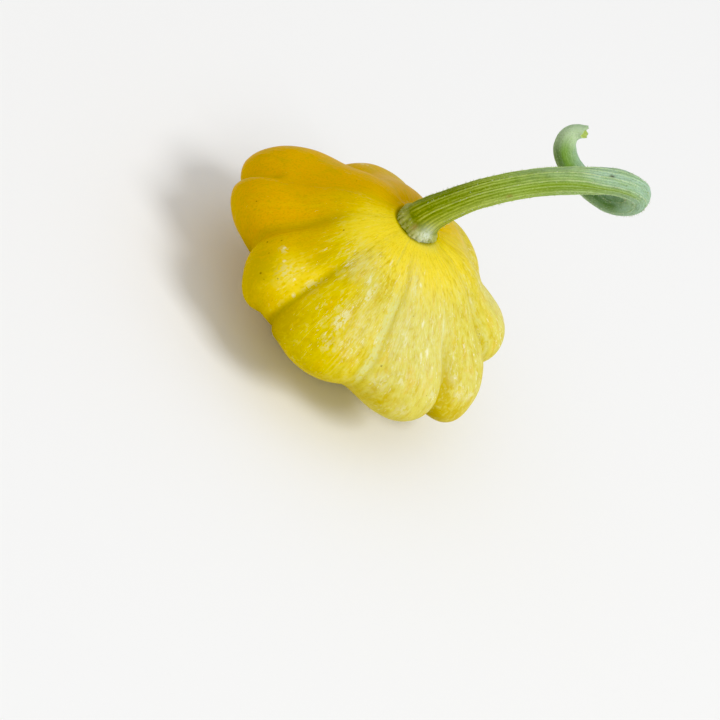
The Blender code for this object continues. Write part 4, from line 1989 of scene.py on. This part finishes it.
@dataclass
class Studio:
    """A pale floor, soft light, and the camera, which looks down on the squash and is rolled.

    Sizes are in metres.
    """

    elevation: float = math.radians(36.0)
    roll: float = math.radians(43.5)
    distance: float = 1.2
    view_width: float = 0.2966  # what the picture's width spans at the rim's middle
    sensor: float = 36.0
    far_end: float = 100.0
    rim_height: float = 0.036
    aim_right: float = -0.0029
    aim_up: float = -0.0315
    floor_radius: float = 14.0
    floor_drop: float = 0.02 * MM
    floor_segments: int = 96
    key_way: tuple[float, float] = (0.77, 0.64)  # how far right and toward the camera the key light is
    key_distance: float = 6.0
    key_size: float = 2.2
    key_power: float = 162.0
    key_tint: tuple = (1.0, 1.0, 0.99)
    glow_tint: tuple = (1.0, 1.0, 1.0, 1.0)
    glow_strength: float = 0.68
    black_level: float = 0.02

    def __post_init__(self) -> None:
        """Works out the camera's axes."""
        level = Vector((1, 0, 0))
        rise = Vector((0, math.sin(self.elevation), math.cos(self.elevation)))
        self.toward = Vector((0, -math.cos(self.elevation), math.sin(self.elevation)))
        self.right = level * math.cos(self.roll) + rise * math.sin(self.roll)
        self.up = rise * math.cos(self.roll) - level * math.sin(self.roll)
        self.aim = Vector((0, 0, self.rim_height)) + self.right * self.aim_right + self.up * self.aim_up

    def add_camera(self) -> None:
        """Makes the camera and gives it to the scene."""
        data = bpy.data.cameras.new("studio_camera")
        data.sensor_width = self.sensor
        data.lens = self.sensor * self.distance / self.view_width
        data.clip_end = self.far_end
        camera = add_object("studio_camera", data)
        turn = Matrix((self.right, self.up, self.toward)).transposed()
        camera.matrix_world = Matrix.Translation(self.aim + self.toward * self.distance) @ turn.to_4x4()
        bpy.context.scene.camera = camera

    def add_key(self) -> None:
        """Makes the key light, a large soft square that faces the squash."""
        data = bpy.data.lights.new("key", "AREA")
        data.size = self.key_size
        data.energy = self.key_power
        data.color = self.key_tint
        way = self.right * self.key_way[0] + self.toward * self.key_way[1]
        light = add_object("key", data)
        light.location = self.aim + way.normalized() * self.key_distance
        light.rotation_euler = way.to_track_quat("Z", "Y").to_euler()

    def add_glow(self) -> None:
        """Surrounds the squash with an even white glow."""
        world = bpy.data.worlds.new("studio")
        world.use_nodes = True
        glow = world.node_tree.nodes["Background"]
        glow.inputs["Color"].default_value = self.glow_tint
        glow.inputs["Strength"].default_value = self.glow_strength
        bpy.context.scene.world = world

    def add_floor(self) -> None:
        """Makes the floor, which isn't part of the squash."""
        mesh = bmesh.new()
        bmesh.ops.create_circle(mesh, cap_ends=True, segments=self.floor_segments, radius=self.floor_radius)
        data = bpy.data.meshes.new("floor")
        mesh.to_mesh(data)
        mesh.free()
        data.materials.append(MattPaper().build())
        floor = add_object("floor", data)
        floor.location.z = -self.floor_drop

    def set_tones(self) -> None:
        """Shows colours plainly, with blacks a touch deeper."""
        settings = bpy.context.scene.view_settings
        settings.view_transform = "Standard"
        settings.use_curve_mapping = True
        settings.curve_mapping.black_level = (self.black_level,) * 3
        settings.curve_mapping.update()

    def build(self) -> None:
        """Sets up the tones, surroundings, light, floor and camera."""
        self.set_tones()
        self.add_glow()
        self.add_key()
        self.add_floor()
        self.add_camera()


def main() -> None:
    """Builds the squash and the studio round it."""
    logging.basicConfig(level=logging.INFO, format="%(message)s")
    surface = PlantSurface()
    stalk = Stalk(surface)
    for maker in (Fruit(surface), stalk, Bristles(stalk)):
        piece = maker.build()
        log.info("%s: %d faces", piece.name, len(piece.data.polygons))
    Studio().build()
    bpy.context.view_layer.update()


if __name__ == "__main__":
    main()
